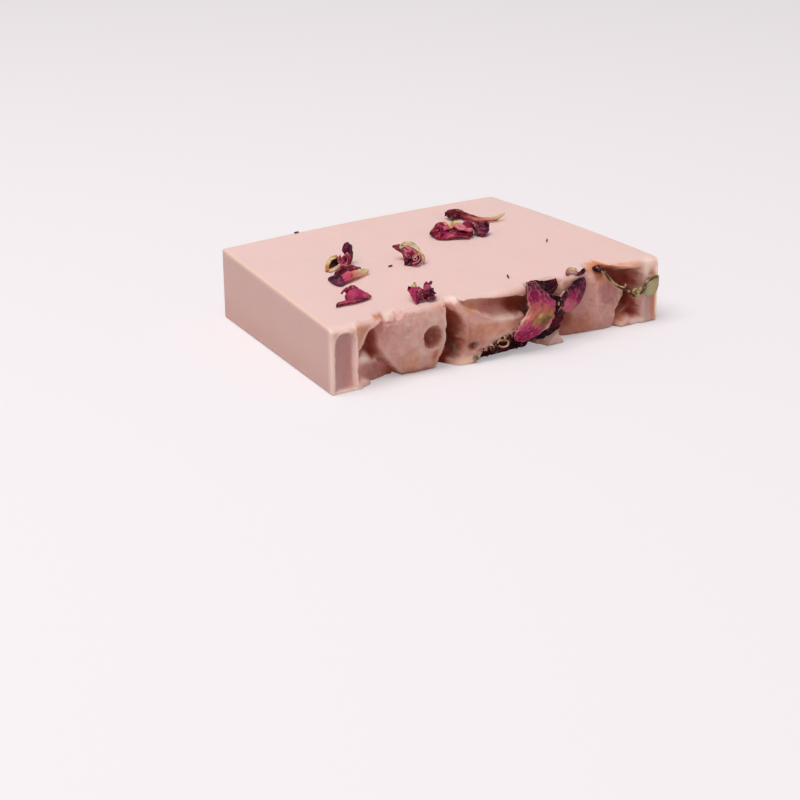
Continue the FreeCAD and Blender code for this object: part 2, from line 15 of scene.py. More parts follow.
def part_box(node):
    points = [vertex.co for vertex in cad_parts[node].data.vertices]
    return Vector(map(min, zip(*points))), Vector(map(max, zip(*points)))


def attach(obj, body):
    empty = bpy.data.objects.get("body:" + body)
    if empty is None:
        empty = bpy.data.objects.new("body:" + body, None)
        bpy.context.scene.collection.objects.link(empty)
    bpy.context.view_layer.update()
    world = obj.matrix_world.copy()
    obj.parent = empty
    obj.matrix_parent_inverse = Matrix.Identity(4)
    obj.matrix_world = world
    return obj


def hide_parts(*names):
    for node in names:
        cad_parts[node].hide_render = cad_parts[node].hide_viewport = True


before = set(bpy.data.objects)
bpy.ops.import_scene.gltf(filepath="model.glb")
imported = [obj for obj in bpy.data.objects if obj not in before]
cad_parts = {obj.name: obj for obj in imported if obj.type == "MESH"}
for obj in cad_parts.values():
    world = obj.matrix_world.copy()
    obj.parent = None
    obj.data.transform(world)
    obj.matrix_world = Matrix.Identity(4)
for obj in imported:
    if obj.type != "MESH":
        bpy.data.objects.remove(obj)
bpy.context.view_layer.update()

# %% [markdown]
# ## Sizes of the bar
# Folds and petals are easiest to think of in millimetres, so shapes are worked out in millimetres and
# turned into metres when a mesh is made. The lengths of the bar come from the frame. The rest repeats the
# sizes that the solids were made with: the sides lean in towards the mould face, and the upper wire cut
# rises a little towards the back and the right. The wire also bowed as it was drawn, which left the middle
# of the back edge and of the right edge half a millimetre high.

# %% Sizes
MM = 0.001
soap_high = Vector(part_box("soap_bar")[1]) / MM
HALF_FRONT = soap_high.x
BACK_Y = soap_high.y
FRONT_Y = -BACK_Y
LOAF_HEIGHT = BACK_Y - FRONT_Y
BASE_HALF = 39.0
FRONT_THICKNESS = 15.2
BACK_THICKNESS = 17.4
CUT_TILT = 0.37
CUT_BOW = 0.55
BOW_FROM_Y = 0.4
BOW_FROM_X = 0.55


def half_width(y):
    """Half the bar's length at the distance y."""
    return HALF_FRONT + (BASE_HALF - HALF_FRONT) * (y - FRONT_Y) / LOAF_HEIGHT


def cut_height(x, y):
    """Height of the upper wire cut at a place."""
    climb = (BACK_THICKNESS - FRONT_THICKNESS) * (y - FRONT_Y) / LOAF_HEIGHT
    at_back = np.clip((y / BACK_Y - BOW_FROM_Y) / (1 - BOW_FROM_Y), 0, 1)
    at_right = np.clip((x / BASE_HALF - BOW_FROM_X) / (1 - BOW_FROM_X), 0, 1)
    bow = at_back ** 2 * (1 - (x / BASE_HALF) ** 2) + at_right ** 2 * (1 - (y / BACK_Y) ** 2)
    return FRONT_THICKNESS + climb + CUT_TILT * x / HALF_FRONT + CUT_BOW * bow


print(f"bar {2 * HALF_FRONT:.1f} mm long at the rough face and {2 * BASE_HALF:.1f} mm at the mould face")

# %% [markdown]
# ## Camera, light and floor
# They come first, so that every later step can be looked at. The camera is a long lens at a slight
# downward angle, as for a small product on a table. The light is what a soft studio gives: one large lamp
# overhead and to the left, and a pale room all round. That leaves the rough face, which looks at the
# camera, darker than the top, and its folds show.

# %% Camera
CAMERA_PLACE = Vector((-248.8, -375.7, 154.5)) * MM
CAMERA_AIM = Vector((-2.61, 9.19, -22.64)) * MM
CAMERA_ROLL = math.radians(-0.55)


def add_object(name, data):
    """A new object in the scene, which holds a camera, a light or a mesh."""
    made = bpy.data.objects.new(name, data)
    bpy.context.scene.collection.objects.link(made)
    return made


camera = add_object("camera", bpy.data.cameras.new("camera"))
camera.data.lens = 90
camera.data.sensor_width = 36
camera.data.clip_start = 0.01
looking = (CAMERA_AIM - CAMERA_PLACE).to_track_quat("-Z", "Y").to_matrix()
camera.matrix_world = Matrix.Translation(CAMERA_PLACE) @ (
    looking @ Matrix.Rotation(CAMERA_ROLL, 3, "Z")).to_4x4()
bpy.context.scene.camera = camera
bpy.context.scene.view_settings.view_transform = "Standard"
print(f"camera {(CAMERA_AIM - CAMERA_PLACE).length:.2f} m from the bar")

# %% [markdown]
# ## A small language for materials
# A material is a tree of nodes. Writing each node and link by hand hides what the material does, so two
# small classes help. `Flow` is the output of a node: adding or multiplying flows, or taking one from a
# number, adds a Math node. `Recipe` is one material: its `node` method adds any node, from its type, its
# settings and what goes into its sockets.

# %% Colours, and sums of flows
def paint(red, green, blue):
    """A colour as it is picked on a screen, turned into the linear colour that Blender works with."""
    def linear(value):
        share = value / 255
        return share / 12.92 if share <= 0.04045 else ((share + 0.055) / 1.055) ** 2.4
    return (linear(red), linear(green), linear(blue), 1.0)


class Flow:
    """An output socket of a material. Python's sums on it add Math nodes."""

    def __init__(self, recipe, socket):
        self.recipe = recipe
        self.socket = socket

    def sum(self, operation, first, second):
        """A Math node that works on two values."""
        return self.recipe.node("ShaderNodeMath", {"operation": operation}, {0: first, 1: second})

    def __add__(self, other):
        return self.sum("ADD", self, other)

    def __rsub__(self, other):
        return self.sum("SUBTRACT", other, self)

    def __mul__(self, other):
        return self.sum("MULTIPLY", self, other)

    def between(self, low, high):
        """0 below low, 1 above high, and a smooth rise from one to the other."""
        return self.recipe.node("ShaderNodeMapRange", {"interpolation_type": "SMOOTHSTEP"},
                                {"Value": self, "From Min": low, "From Max": high})


print("pale pink in linear light:", [round(share, 2) for share in paint(240, 206, 199)])


# %% A recipe for a material
class Recipe:
    """One material, with the nodes that make its finish."""

    def __init__(self, name):
        self.material = bpy.data.materials.new(name)
        self.material.use_nodes = True
        self.tree = self.material.node_tree
        self.tree.nodes.clear()

    def node(self, kind, settings, sockets, output=0):
        """Adds a node: its settings first, then the value or the flow that goes into each socket."""
        made = self.tree.nodes.new(kind)
        for name, value in settings.items():
            setattr(made, name, value)
        for name, value in sockets.items():
            if isinstance(value, Flow):
                self.tree.links.new(value.socket, made.inputs[name])
            else:
                made.inputs[name].default_value = value
        return Flow(self, made.outputs[output]) if made.outputs else None

    def mix(self, factor, first, second, blend="MIX"):
        """One colour turned into another by a factor."""
        return self.node("ShaderNodeMix", {"data_type": "RGBA", "blend_type": blend},
                         {0: factor, 6: first, 7: second}, output=2)

    def noise(self, where, scale, detail=3.0, roughness=0.55):
        """Cloudy noise from 0 to 1, over some coordinates."""
        return self.node("ShaderNodeTexNoise", {},
                         {"Vector": where, "Scale": scale, "Detail": detail, "Roughness": roughness})

    def stretched(self, where, scale):
        """Coordinates stretched by a different amount along each axis."""
        return self.node("ShaderNodeMapping", {}, {"Vector": where, "Scale": scale})

    def coordinates(self, which="Object"):
        """Where the surface is, in metres, or its own UV map."""
        kind = self.tree.nodes.new("ShaderNodeTexCoord")
        return Flow(self, kind.outputs[which])

    def attribute(self, name, output="Color"):
        """What the mesh carries at each vertex under a name."""
        return self.node("ShaderNodeAttribute", {"attribute_name": name}, {}, output)

    def bump(self, height, distance, strength=1.0, normal=None):
        """A fine relief of the surface, whose full height is the distance in metres."""
        sockets = {"Height": height, "Distance": distance, "Strength": strength}
        if normal is not None:
            sockets["Normal"] = normal
        return self.node("ShaderNodeBump", {}, sockets)

    def surface(self, shader):
        """Ends the material with a shader."""
        self.node("ShaderNodeOutputMaterial", {}, {"Surface": shader})
        return self.material


print("a recipe knows:", ", ".join(name for name in vars(Recipe) if name[0] != "_"))

# %% [markdown]
# The floor is a wide pale sheet. The camera sees it a little lighter than the light makes it, so that it
# looks like an endless white table, and it still takes the bar's soft shadow. `Is Camera Ray` does that:
# it is 1 only for what the camera sees directly, so no extra light reaches the bar.

# %% Room and lamp
TABLE_WHITE = paint(238, 235, 238)
LAMP_PLACE = Vector((-0.36, -0.05, 1.0))
LAMP_SIZE = 0.8
LAMP_POWER = 7.6
ROOM_LEVEL = 0.47

room = bpy.data.worlds.new("pale room")
bpy.context.scene.world = room
room.use_nodes = True
backdrop = room.node_tree.nodes["Background"]
backdrop.inputs["Color"].default_value = TABLE_WHITE
seen = room.node_tree.nodes.new("ShaderNodeLightPath")
level = room.node_tree.nodes.new("ShaderNodeMapRange")
level.inputs["To Min"].default_value = ROOM_LEVEL
room.node_tree.links.new(seen.outputs["Is Camera Ray"], level.inputs["Value"])
room.node_tree.links.new(level.outputs["Result"], backdrop.inputs["Strength"])

lamp = add_object("softbox", bpy.data.lights.new("softbox", "AREA"))
lamp.data.shape = "DISK"
lamp.data.size = LAMP_SIZE
lamp.data.energy = LAMP_POWER
lamp.location = LAMP_PLACE
lamp.rotation_euler = (-LAMP_PLACE).to_track_quat("-Z", "Y").to_euler()
print(f"lamp {LAMP_PLACE.length:.2f} m from the bar, {LAMP_POWER} W")

# %% Floor
TABLE_GREY = paint(208, 202, 203)
TABLE_GLOW = 0.36
FLOOR_REACH = 3.0


def finished_mesh(bm, name):
    """The mesh that was built in bm, under its name."""
    mesh = bpy.data.meshes.new(name)
    bm.to_mesh(mesh)
    bm.free()
    return mesh


bm = bmesh.new()
bmesh.ops.create_grid(bm, x_segments=1, y_segments=1, size=FLOOR_REACH)
floor = add_object("floor", finished_mesh(bm, "floor"))
recipe = Recipe("white table")
table = recipe.node("ShaderNodeBsdfDiffuse", {}, {"Color": TABLE_GREY})
glow = recipe.node("ShaderNodeEmission", {}, {"Color": TABLE_WHITE, "Strength": TABLE_GLOW})
rays = recipe.node("ShaderNodeLightPath", {}, {})
lifted = recipe.node("ShaderNodeAddShader", {}, {0: table, 1: glow})
floor.data.materials.append(recipe.surface(
    recipe.node("ShaderNodeMixShader", {}, {0: rays, 1: table, 2: lifted})))
print("floor", 2 * FLOOR_REACH, "m wide")

# %% [markdown]
# ## The folds of the rough face
# The top of the loaf was pulled up with a spoon while the batter was thick. What is left are slabs that
# stand out, with steep walls and deep gaps between them. Each slab has an outline, seen straight on, a
# depth at which its surface lies, and a steepness of its walls. Where two slabs meet, the one that stands
# out further wins, with a soft crest between them.

# %% Outlines of the folds
BEYOND = 3.0
SKY = FRONT_THICKNESS + BEYOND
GROUND = -BEYOND
PAST_LEFT = -HALF_FRONT - BEYOND
PAST_RIGHT = HALF_FRONT + BEYOND
GAP_DEPTH = 5.6
SLANT_LIMIT = -0.3
PROUDEST = -0.6
CREST_ROUNDING = 0.35

left_post = [(PAST_LEFT, GROUND), (PAST_LEFT, SKY), (-38.6, SKY), (-38.3, 13.5), (-38.2, 6.0),
             (-38.4, 2.5), (-37.4, 1.2), (-37.2, GROUND)]
left_foot = [(-38.5, GROUND), (-38.5, 2.2), (-36.2, 1.6), (-34.4, 0.9), (-34.4, GROUND)]
left_lip = [(-39.0, SKY), (-39.0, 8.4), (-37.4, 9.4), (-36.0, 12.1), (-34.5, 13.5), (-32.8, 14.3),
            (-31.0, 15.0), (-31.0, SKY)]
mound = [(-38.0, GROUND), (-38.0, 5.8), (-36.2, 6.6), (-33.0, 5.0), (-29.5, 3.2), (-27.5, 1.0),
         (-26.5, GROUND)]
great_cone = [(-33.5, SKY), (-32.9, 11.9), (-32.1, 8.1), (-30.2, 5.6), (-28.4, 3.0), (-25.6, 0.0),
              (-25.6, GROUND), (-17.6, GROUND), (-17.1, 1.6), (-15.6, 5.9), (-14.9, 12.0),
              (-13.9, 15.5), (-13.9, SKY)]
second_peak = [(-13.4, SKY), (-13.1, 13.5), (-11.6, 12.4), (-10.3, 11.0), (-9.5, 9.5), (-9.4, 7.4),
               (-10.4, 4.2), (-11.6, 0.5), (-12.0, GROUND), (-8.5, GROUND), (-7.5, 0.6), (-5.6, 2.0),
               (-2.3, 3.5), (3.0, 4.7), (5.8, 5.2), (5.8, 8.4), (3.4, 8.6), (-0.6, 9.0), (-3.5, 9.8),
               (-6.6, 11.6), (-9.7, 13.5), (-10.5, 15.4), (-10.5, SKY)]
middle_lip = [(-10.8, SKY), (-10.5, 15.2), (-5.0, 14.8), (0.0, 14.2), (6.0, 13.6), (6.8, SKY)]
petal_bed = [(7.0, GROUND), (7.0, SKY), (15.0, SKY), (17.5, 9.0), (17.5, GROUND)]
bridge = [(16.6, SKY), (16.8, 12.6), (17.4, 10.2), (19.5, 11.4), (22.0, 13.3), (24.2, 14.8), (24.2, SKY)]
tongue = [(12.5, GROUND), (12.6, 0.8), (14.9, 3.0), (16.6, 0.6), (17.0, GROUND)]
right_slope = [(17.5, GROUND), (17.5, 9.0), (22.0, 12.0), (24.0, 15.0), (24.0, SKY), (29.6, SKY),
               (29.8, 15.0), (30.8, 13.7), (32.5, 12.1), (34.0, 10.0), (35.9, 8.6), (35.7, 7.7),
               (33.7, 4.3), (33.3, 1.3), (30.6, GROUND)]
right_lip = [(30.6, SKY), (31.5, 15.2), (34.0, 14.6), (37.0, 14.2), (40.0, 13.6), (41.0, SKY)]
right_post = [(40.3, GROUND), (40.0, 4.0), (40.6, 9.0), (40.2, 12.0), (39.5, 14.0), (39.5, SKY),
              (PAST_RIGHT, SKY), (PAST_RIGHT, GROUND)]
right_foot = [(34.8, GROUND), (34.9, 0.6), (36.4, 1.3), (38.4, 1.5), (40.6, 2.8), (40.6, GROUND)]
right_band = [(33.6, 0.6), (34.0, 2.2), (37.0, 3.8), (40.6, 5.4), (40.6, 4.4)]
fringe_hollow = [(-7.0, GROUND), (-5.2, 1.6), (-2.0, 3.2), (3.0, 4.3), (10.0, 4.6), (11.5, GROUND)]
edge_chip = [(-32.8, FRONT_THICKNESS), (-32.4, SKY), (-26.6, SKY), (-26.8, FRONT_THICKNESS - 0.1)]
corner_chip = [(41.6, 13.3), (44.3, 13.0), (43.4, 11.2), (42.2, 11.6)]
print("outlines reach from", GROUND, "to", round(SKY, 1), "mm, past the foot and the upper edge")

# %% [markdown]
# NumPy works on all points of the face at once, which is what makes a grid this fine quick to shape. A
# fold is as deep as its own surface inside its outline, and falls away with the distance outside it.

# %% Distance to an outline
def line_distance(points, x, z):
    """Distance from many places to a line through some points."""
    nearest = np.full(np.shape(x), 1e9)
    for (ax, az), (bx, bz) in zip(points, points[1:]):
        length_squared = (bx - ax) ** 2 + (bz - az) ** 2
        share = np.clip(((x - ax) * (bx - ax) + (z - az) * (bz - az)) / length_squared, 0, 1)
        nearest = np.minimum(nearest, np.hypot(x - ax - share * (bx - ax), z - az - share * (bz - az)))
    return nearest


def outside_distance(outline, x, z):
    """Distance from many places to a closed outline, and 0 inside it."""
    inside = np.zeros(np.shape(x), bool)
    for (ax, az), (bx, bz) in zip(outline, outline[1:] + outline[:1]):
        if az != bz:
            crossing = ax + (z - az) * (bx - ax) / (bz - az)
            inside ^= ((az > z) != (bz > z)) & (x < crossing)
    return np.where(inside, 0.0, line_distance(outline + outline[:1], x, z))


print("the great cone has", len(great_cone), "corners")

# %% Depth of one fold
def soft_lower(a, b):
    """The smaller of two depths, rounded where they cross."""
    blend = np.maximum(CREST_ROUNDING - np.abs(a - b), 0) / CREST_ROUNDING
    return np.minimum(a, b) - blend * blend * CREST_ROUNDING / 4


def bulge(summit, depth, fall_left, fall_right, fall_down, fall_up):
    """Depth of a fold that is highest at its summit. Each fall is (how much deeper, at what distance)."""
    def depth_at(x, z):
        along = np.where(x > summit[0], fall_right[0] / fall_right[1] ** 2, fall_left[0] / fall_left[1] ** 2)
        upward = np.where(z > summit[1], fall_up[0] / fall_up[1] ** 2, fall_down[0] / fall_down[1] ** 2)
        return depth + along * (x - summit[0]) ** 2 + upward * (z - summit[1]) ** 2
    return depth_at


def flat(depth):
    """Depth of a fold that is level all over."""
    return lambda x, z: depth + 0 * x


def slanted(depth, at_x, per_x):
    """Depth of a fold that leans along X."""
    return lambda x, z: np.maximum(SLANT_LIMIT, depth + per_x * (x - at_x))


print("a slanted fold stands out by", -SLANT_LIMIT, "mm at most, and nothing by more than", -PROUDEST, "mm")

# %% How deep the face lies
FOLDS = [  # outline, depth inside it, how steeply it falls away outside
    (left_post, flat(0.0), 4.0),
    (left_foot, slanted(0.3, -37.4, 0.4), 2.5),
    (left_lip, flat(0.5), 3.0),
    (mound, slanted(3.4, -32.0, 0.17), 1.6),
    (great_cone, bulge((-20.0, 8.0), 0.0, (2.2, 13.0), (0.4, 4.5), (1.8, 8.0), (1.6, 7.5)), 4.0),
    (second_peak, bulge((-3.0, 4.0), -0.7, (0.3, 8.0), (0.2, 8.0), (0.1, 4.0), (2.7, 11.0)), 1.35),
    (middle_lip, flat(-0.3), 5.0),
    (petal_bed, flat(2.2), 1.2),
    (bridge, flat(0.3), 2.0),
    (tongue, flat(-0.6), 4.0),
    (right_slope, bulge((33.0, 5.0), 1.6, (1.6, 14.0), (0.1, 4.0), (0.4, 5.0), (2.6, 10.0)), 3.0),
    (right_lip, slanted(1.2, 31.5, -0.35), 3.0),
    (right_post, flat(0.0), 4.0),
    (right_foot, slanted(0.3, 36.4, 0.1), 1.6),
    (right_band, flat(2.4), 1.8),
]
HOLLOWS = [(fringe_hollow, 4.4, 4.0), (edge_chip, 2.2, 2.0), (corner_chip, 0.8, 2.0)]  # as above
BUBBLES = [((-18.7, 8.1), 5.2, 5.4, 2.6), ((-8.2, 4.3), 3.0, 2.4, 0.5)]  # centre, width, height, depth


def groove_depth(x, z, left=-44.0, right=-38.9, bottom=0.5, top=13.8, depth=1.0, edge=0.45):
    """The groove beside the left corner: straight sides, a round top, a sloping edge all round."""
    radius = (right - left) / 2
    above = np.maximum(z - (top - radius), 0)
    inward = np.minimum(radius - np.hypot(x - (left + right) / 2, above), z - bottom)
    return depth * np.clip(inward / edge, 0, 1)


def bubble_depth(x, z, centre, width, height, depth):
    """A round hole where the batter's skin opened over an air bubble."""
    reach = ((x - centre[0]) / (width / 2)) ** 2 + ((z - centre[1]) / (height / 2)) ** 2
    return depth * np.sqrt(np.maximum(0, 1 - reach))


def fold_depth(x, z):
    """How far the folds lie behind the flat plane of the face."""
    depth = np.full(np.shape(x), GAP_DEPTH)
    for outline, inside, steepness in FOLDS:
        depth = soft_lower(depth, inside(x, z) + steepness * outside_distance(outline, x, z))
    for outline, inside, steepness in HOLLOWS:
        depth = np.maximum(depth, inside - steepness * outside_distance(outline, x, z))
    depth = depth + groove_depth(x, z)
    for bubble in BUBBLES:
        depth = depth + bubble_depth(x, z, *bubble)
    return depth


print(len(FOLDS), "folds,", len(HOLLOWS), "hollows and chips,", len(BUBBLES), "bubbles")
print("deepest gap", GAP_DEPTH, "mm")

# %% [markdown]
# Over the folds lies what makes them look like soap: soft waves of the batter's skin, thin beads along
# torn edges, fine crease lines and a ragged fringe. The waves come from a small table of random numbers
# with a fixed seed, blended smoothly, so that they are the same on every run.

# %% Waves and soft steps
def waves(a, b, size, seed):
    """Smooth random waves over a plane, from -1 to 1, about one for each stretch of the size."""
    table = np.random.default_rng(seed).uniform(-1, 1, (64, 64))
    a, b = np.asarray(a) / size, np.asarray(b) / size
    i, j = np.floor(a).astype(int), np.floor(b).astype(int)
    s, t = a - i, b - j
    s, t = s * s * (3 - 2 * s), t * t * (3 - 2 * t)
    low = table[i % 64, j % 64] * (1 - s) + table[(i + 1) % 64, j % 64] * s
    high = table[i % 64, (j + 1) % 64] * (1 - s) + table[(i + 1) % 64, (j + 1) % 64] * s
    return low * (1 - t) + high * t


def rise(low, high, value):
    """0 below low, 1 above high, and a smooth rise between them."""
    share = np.clip((np.asarray(value) - low) / (high - low), 0, 1)
    return share * share * (3 - 2 * share)


def blurred(values, times):
    """A grid of values with each one averaged with its neighbours, again and again."""
    for _ in range(times):
        padded = np.pad(values, 1, mode="edge")
        values = (padded[:-2, 1:-1] + padded[2:, 1:-1] + padded[1:-1, :-2] + padded[1:-1, 2:]) / 4
    return values


print("a soft step from 0 to 1:", rise(0, 4, np.arange(5)))

# %% Beads and creases
BEADS = [  # line along the face, height of the bead (negative: a groove), half its width
    ([(-44.4, 0.3), (-44.4, 11.3), (-43.7, 13.0), (-42.5, 14.0), (-41.0, 14.3)], 0.2, 0.3),
    ([(-41.0, 14.3), (-39.6, 13.6), (-38.7, 12.3), (-38.4, 8.0), (-38.5, 1.0)], 0.3, 0.35),
    ([(-37.3, 9.5), (-35.9, 12.2), (-34.4, 13.6), (-32.4, 14.5)], 0.3, 0.35),
    ([(-17.3, 0.6), (-16.0, 4.6), (-15.3, 9.0), (-15.0, 12.4), (-14.2, 15.2)], 0.3, 0.35),
    ([(-37.0, 6.9), (-34.0, 5.6), (-31.6, 5.2)], 0.2, 0.3),
    ([(-23.1, 13.1), (-22.6, 10.0), (-22.9, 7.0)], 0.12, 0.25),
    ([(-26.7, 12.9), (-27.1, 9.4), (-27.6, 5.7)], 0.14, 0.3),
    ([(-25.0, 6.6), (-24.9, 4.2), (-25.4, 2.0)], 0.16, 0.25),
    ([(-24.6, 3.0), (-22.4, 5.9), (-20.6, 4.6)], 0.18, 0.3),
    ([(-23.2, 1.4), (-21.6, 4.2)], -0.14, 0.3),
    ([(-24.9, 12.0), (-24.7, 12.1)], 0.25, 0.4),
    ([(-9.7, 13.4), (-6.6, 11.5), (-3.5, 9.7), (-0.6, 8.9), (3.4, 8.5)], 0.14, 0.3),
    ([(28.9, 10.4), (28.4, 7.4), (28.2, 4.6), (29.9, 1.6)], 0.24, 0.3),
    ([(24.6, 7.6), (28.4, 6.4), (33.0, 5.4)], 0.18, 0.25),
    ([(30.4, 11.0), (32.4, 8.4), (33.4, 6.0)], 0.14, 0.25),
]
print(len(BEADS), "beads and creases")

# %% The face with its skin
SKIN_WAVES = ((6.0, 0.3, 11), (2.4, 0.2, 12), (0.9, 0.14, 13), (0.45, 0.07, 14))  # size, height, seed
OUTLINE_SWAY = 0.25
LIP_HEIGHT = 1.1
LIP_ROUNDING = 0.7


def between_posts(x):
    """1 between the two smooth posts at the ends of the face, and 0 on them."""
    return rise(-38.5, -36.0, x) * rise(40.0, 38.0, x)


def face_depth(x, z):
    """The folds with their waves, beads, creases and rounded upper edge."""
    from_fringe = np.abs(z - (2.0 + 0.32 * (x + 4)))
    fringe = rise(3.2, 1.0, from_fringe) * rise(-10, -7, x) * rise(7, 4, x)
    torn = 0.1 + 0.4 * fringe
    depth = fold_depth(x + OUTLINE_SWAY * waves(x, z, 1.3, 5) + torn * waves(x, z, 0.6, 7),
                       z + OUTLINE_SWAY * waves(x, z, 1.3, 6) + torn * waves(x, z, 0.6, 8))
    skin = 0.12 + 0.3 * between_posts(x) + 0.58 * rise(0.6, 2.0, depth)
    for size, height, seed in SKIN_WAVES:
        depth = depth + height * waves(x, z, size, seed) * skin
    for points, height, half in BEADS:
        depth = depth - height * np.exp(-(line_distance(points, x, z) / half) ** 2)
    lip = np.clip((z - (FRONT_THICKNESS - LIP_HEIGHT)) / LIP_HEIGHT, 0, 1)
    ragged = 0.6 * np.abs(waves(x, z, 0.8, 21)) + 0.4 * waves(x, z, 0.4, 22)
    crumbly = rise(1.2, 0.4, outside_distance(edge_chip, x, z)) * waves(x, 0 * x, 0.9, 23)
    return np.maximum(depth + LIP_ROUNDING * lip ** 2 - fringe * ragged + crumbly, PROUDEST)


print("the great cone's skin, left of its bubble, is", round(float(face_depth(-24.0, 8.0)), 2), "mm deep")

# %% [markdown]
# ## The bar
# A cube is divided into a fine grid, then every vertex is moved: first onto a block with rounded edges,
# then back by the depth of the folds, and last onto the leaning sides and the slanting upper cut. Dividing
# a cube keeps its six faces joined all the way round, so the bar is one closed skin with soft edges.

# %% A divided cube
COLUMNS, ROWS, LAYERS = 420, 76, 26
EDGE_RADIUS = 0.5


def vertex_places(mesh):
    """Where the vertices of a mesh are, one row of x, y and z for each."""
    places = np.empty(len(mesh.vertices) * 3)
    mesh.vertices.foreach_get("co", places)
    return places.reshape(-1, 3)


bm = bmesh.new()
bmesh.ops.create_cube(bm, size=2)
for axis, parts in ((0, COLUMNS), (2, ROWS), (1, LAYERS)):
    along = [edge for edge in bm.edges if abs(edge.verts[0].co[axis] - edge.verts[1].co[axis]) > 1.9]
    bmesh.ops.subdivide_edges(bm, edges=along, cuts=parts - 1, use_grid_fill=True)
soap_mesh = finished_mesh(bm, "soap_bar")
cube = vertex_places(soap_mesh)
print(len(cube), "vertices on the cube")

# %% [markdown]
# The depth is worked out once for each column and row of the rough face. The vertices behind it follow
# their column and row, and less and less so towards the mould face. The layers lie closer together near
# the two long faces, where the edges are round. Under the middle lip the skin is blurred until it is as
# smooth as a spoon leaves it. Where the upper edge has chipped off, the cut crumbles away behind it.

# %% Press the folds into it
CHIP_MIDDLE = -28.6
CHIP_REACH_X = 3.6
CHIP_REACH_Y = 4.4

column = np.rint((cube[:, 0] + 1) / 2 * COLUMNS).astype(int)
row = np.rint((cube[:, 2] + 1) / 2 * ROWS).astype(int)
layer = 0.5 - 0.5 * np.cos(np.pi * (cube[:, 1] + 1) / 2)
face_x, face_z = np.meshgrid(np.linspace(-HALF_FRONT, HALF_FRONT, COLUMNS + 1),
                             np.linspace(0, FRONT_THICKNESS, ROWS + 1), indexing="ij")
face = face_depth(face_x, face_z)
scoop = rise(-11, -8, face_x) * rise(8, 6, face_x) * rise(0.6, 1.6, face) * rise(7.5, 8.5, face_z)
face = face + (blurred(face, 60) - face) * scoop

size = np.array((HALF_FRONT, LOAF_HEIGHT / 2, FRONT_THICKNESS / 2))
block = np.column_stack((cube[:, 0], 2 * layer - 1, cube[:, 2])) * size
core = np.clip(block, EDGE_RADIUS - size, size - EDGE_RADIUS)
outward = block - core
block = core + outward * EDGE_RADIUS / np.linalg.norm(outward, axis=1, keepdims=True)
block[:, 2] += FRONT_THICKNESS / 2

x, y, z = block.T
y = y + face[column, row] * (BACK_Y - y) / LOAF_HEIGHT
from_chip = np.hypot((x - CHIP_MIDDLE) / CHIP_REACH_X, (y - FRONT_Y) / CHIP_REACH_Y)
crumbled = rise(1.2, 0.5, from_chip + 0.2 * waves(x, y, 1.1, 25)) * rise(0.8, 1.0, z / FRONT_THICKNESS)
z = z - crumbled * (0.5 + 0.8 * waves(x, y, 0.9, 24))
x = x * half_width(y) / HALF_FRONT
z = z * cut_height(x, y) / FRONT_THICKNESS
soap_mesh.vertices.foreach_set("co", (np.column_stack((x, y, z)) * MM).ravel())
soap_mesh.update()
print(f"face from {face.min():.2f} to {face.max():.2f} mm deep")

# %% [markdown]
# The batter isn't one colour. Cut faces are an even, chalky pink. Inside the folds it is redder, and painted
# shade darkens it more the deeper it lies. Thin lips are amber, partly a stain and partly painted light that
# comes through them, and torn crests are pale and lightened further by a painted highlight. Many stains are
# painted shade in gaps and hollows, and others are painted highlights on rims. The two end walls and the
# back wall get painted shade, darker than the cut, most of all near the table. The tint of each place is
# mixed from masks and kept in the mesh as a colour attribute, which the material reads. Two more attributes
# go
# with it: `folded` says where the skin is moist, and `thin` where an edge is so thin that light comes
# through. A faint light of its own stands for that.

# %% Tint of the batter
CUT_PINK = paint(242, 206, 199)
# A pale colour for random pale patches and for the painted highlight on crests.
PALE_PATCH_AND_HIGHLIGHT = paint(246, 208, 192)
FOLD = paint(238, 180, 168)
MAUVE = paint(176, 112, 112)
# The next two colours are painted shade for deep folds, gaps and hollows.
HOLLOW_SHADE = paint(164, 80, 60)
DEEP_SHADE = paint(88, 36, 27)
# An amber that is partly real stain and partly painted light coming through thin lips.
AMBER_STAIN_AND_GLOW = paint(236, 158, 112)
RUST = paint(190, 100, 66)
# A dark red used as painted shade in creases, the bubble and the hollows.
BLOOD_RED_SHADE = paint(150, 46, 30)
# A pale colour for real veins, mottling and crumbs, for painted highlights on rims, lips, ridges and the
# mound's top, and for the glow of thin edges.
PALE_AND_HIGHLIGHT = paint(252, 226, 212)
BUTTERY = paint(246, 210, 174)
# A brown used mostly as painted shade in the bubbles, the gap beside the second peak, under the dark scrap
# and in the hollows.
BROWN_SHADE = paint(146, 74, 56)
# A dark brown: dirt along the lower edge of the second peak, and painted shade inside the small hole.
DIRT_AND_SHADE = paint(100, 50, 34)
# Painted shade for the end walls and the back.
FOOT_SHADE = paint(229, 187, 177)
GLOW = paint(238, 120, 86)
FLESH = paint(232, 136, 122)


def stained(tint, colour, mask):
    """The tint with a colour over it where the mask is 1."""
    return tint + (np.array(colour[:3]) - tint) * mask[..., None]


def soaked(tint, colour, mask):
    """The tint with a colour soaked into it, used for dyes and for painted shade: half way there it is
    darker, not greyer.
    """
    return tint ** (1 - mask[..., None]) * np.array(colour[:3]) ** mask[..., None]


print("a wall is this much darker than the cut:", round(1 - FOOT_SHADE[1] / CUT_PINK[1], 2))
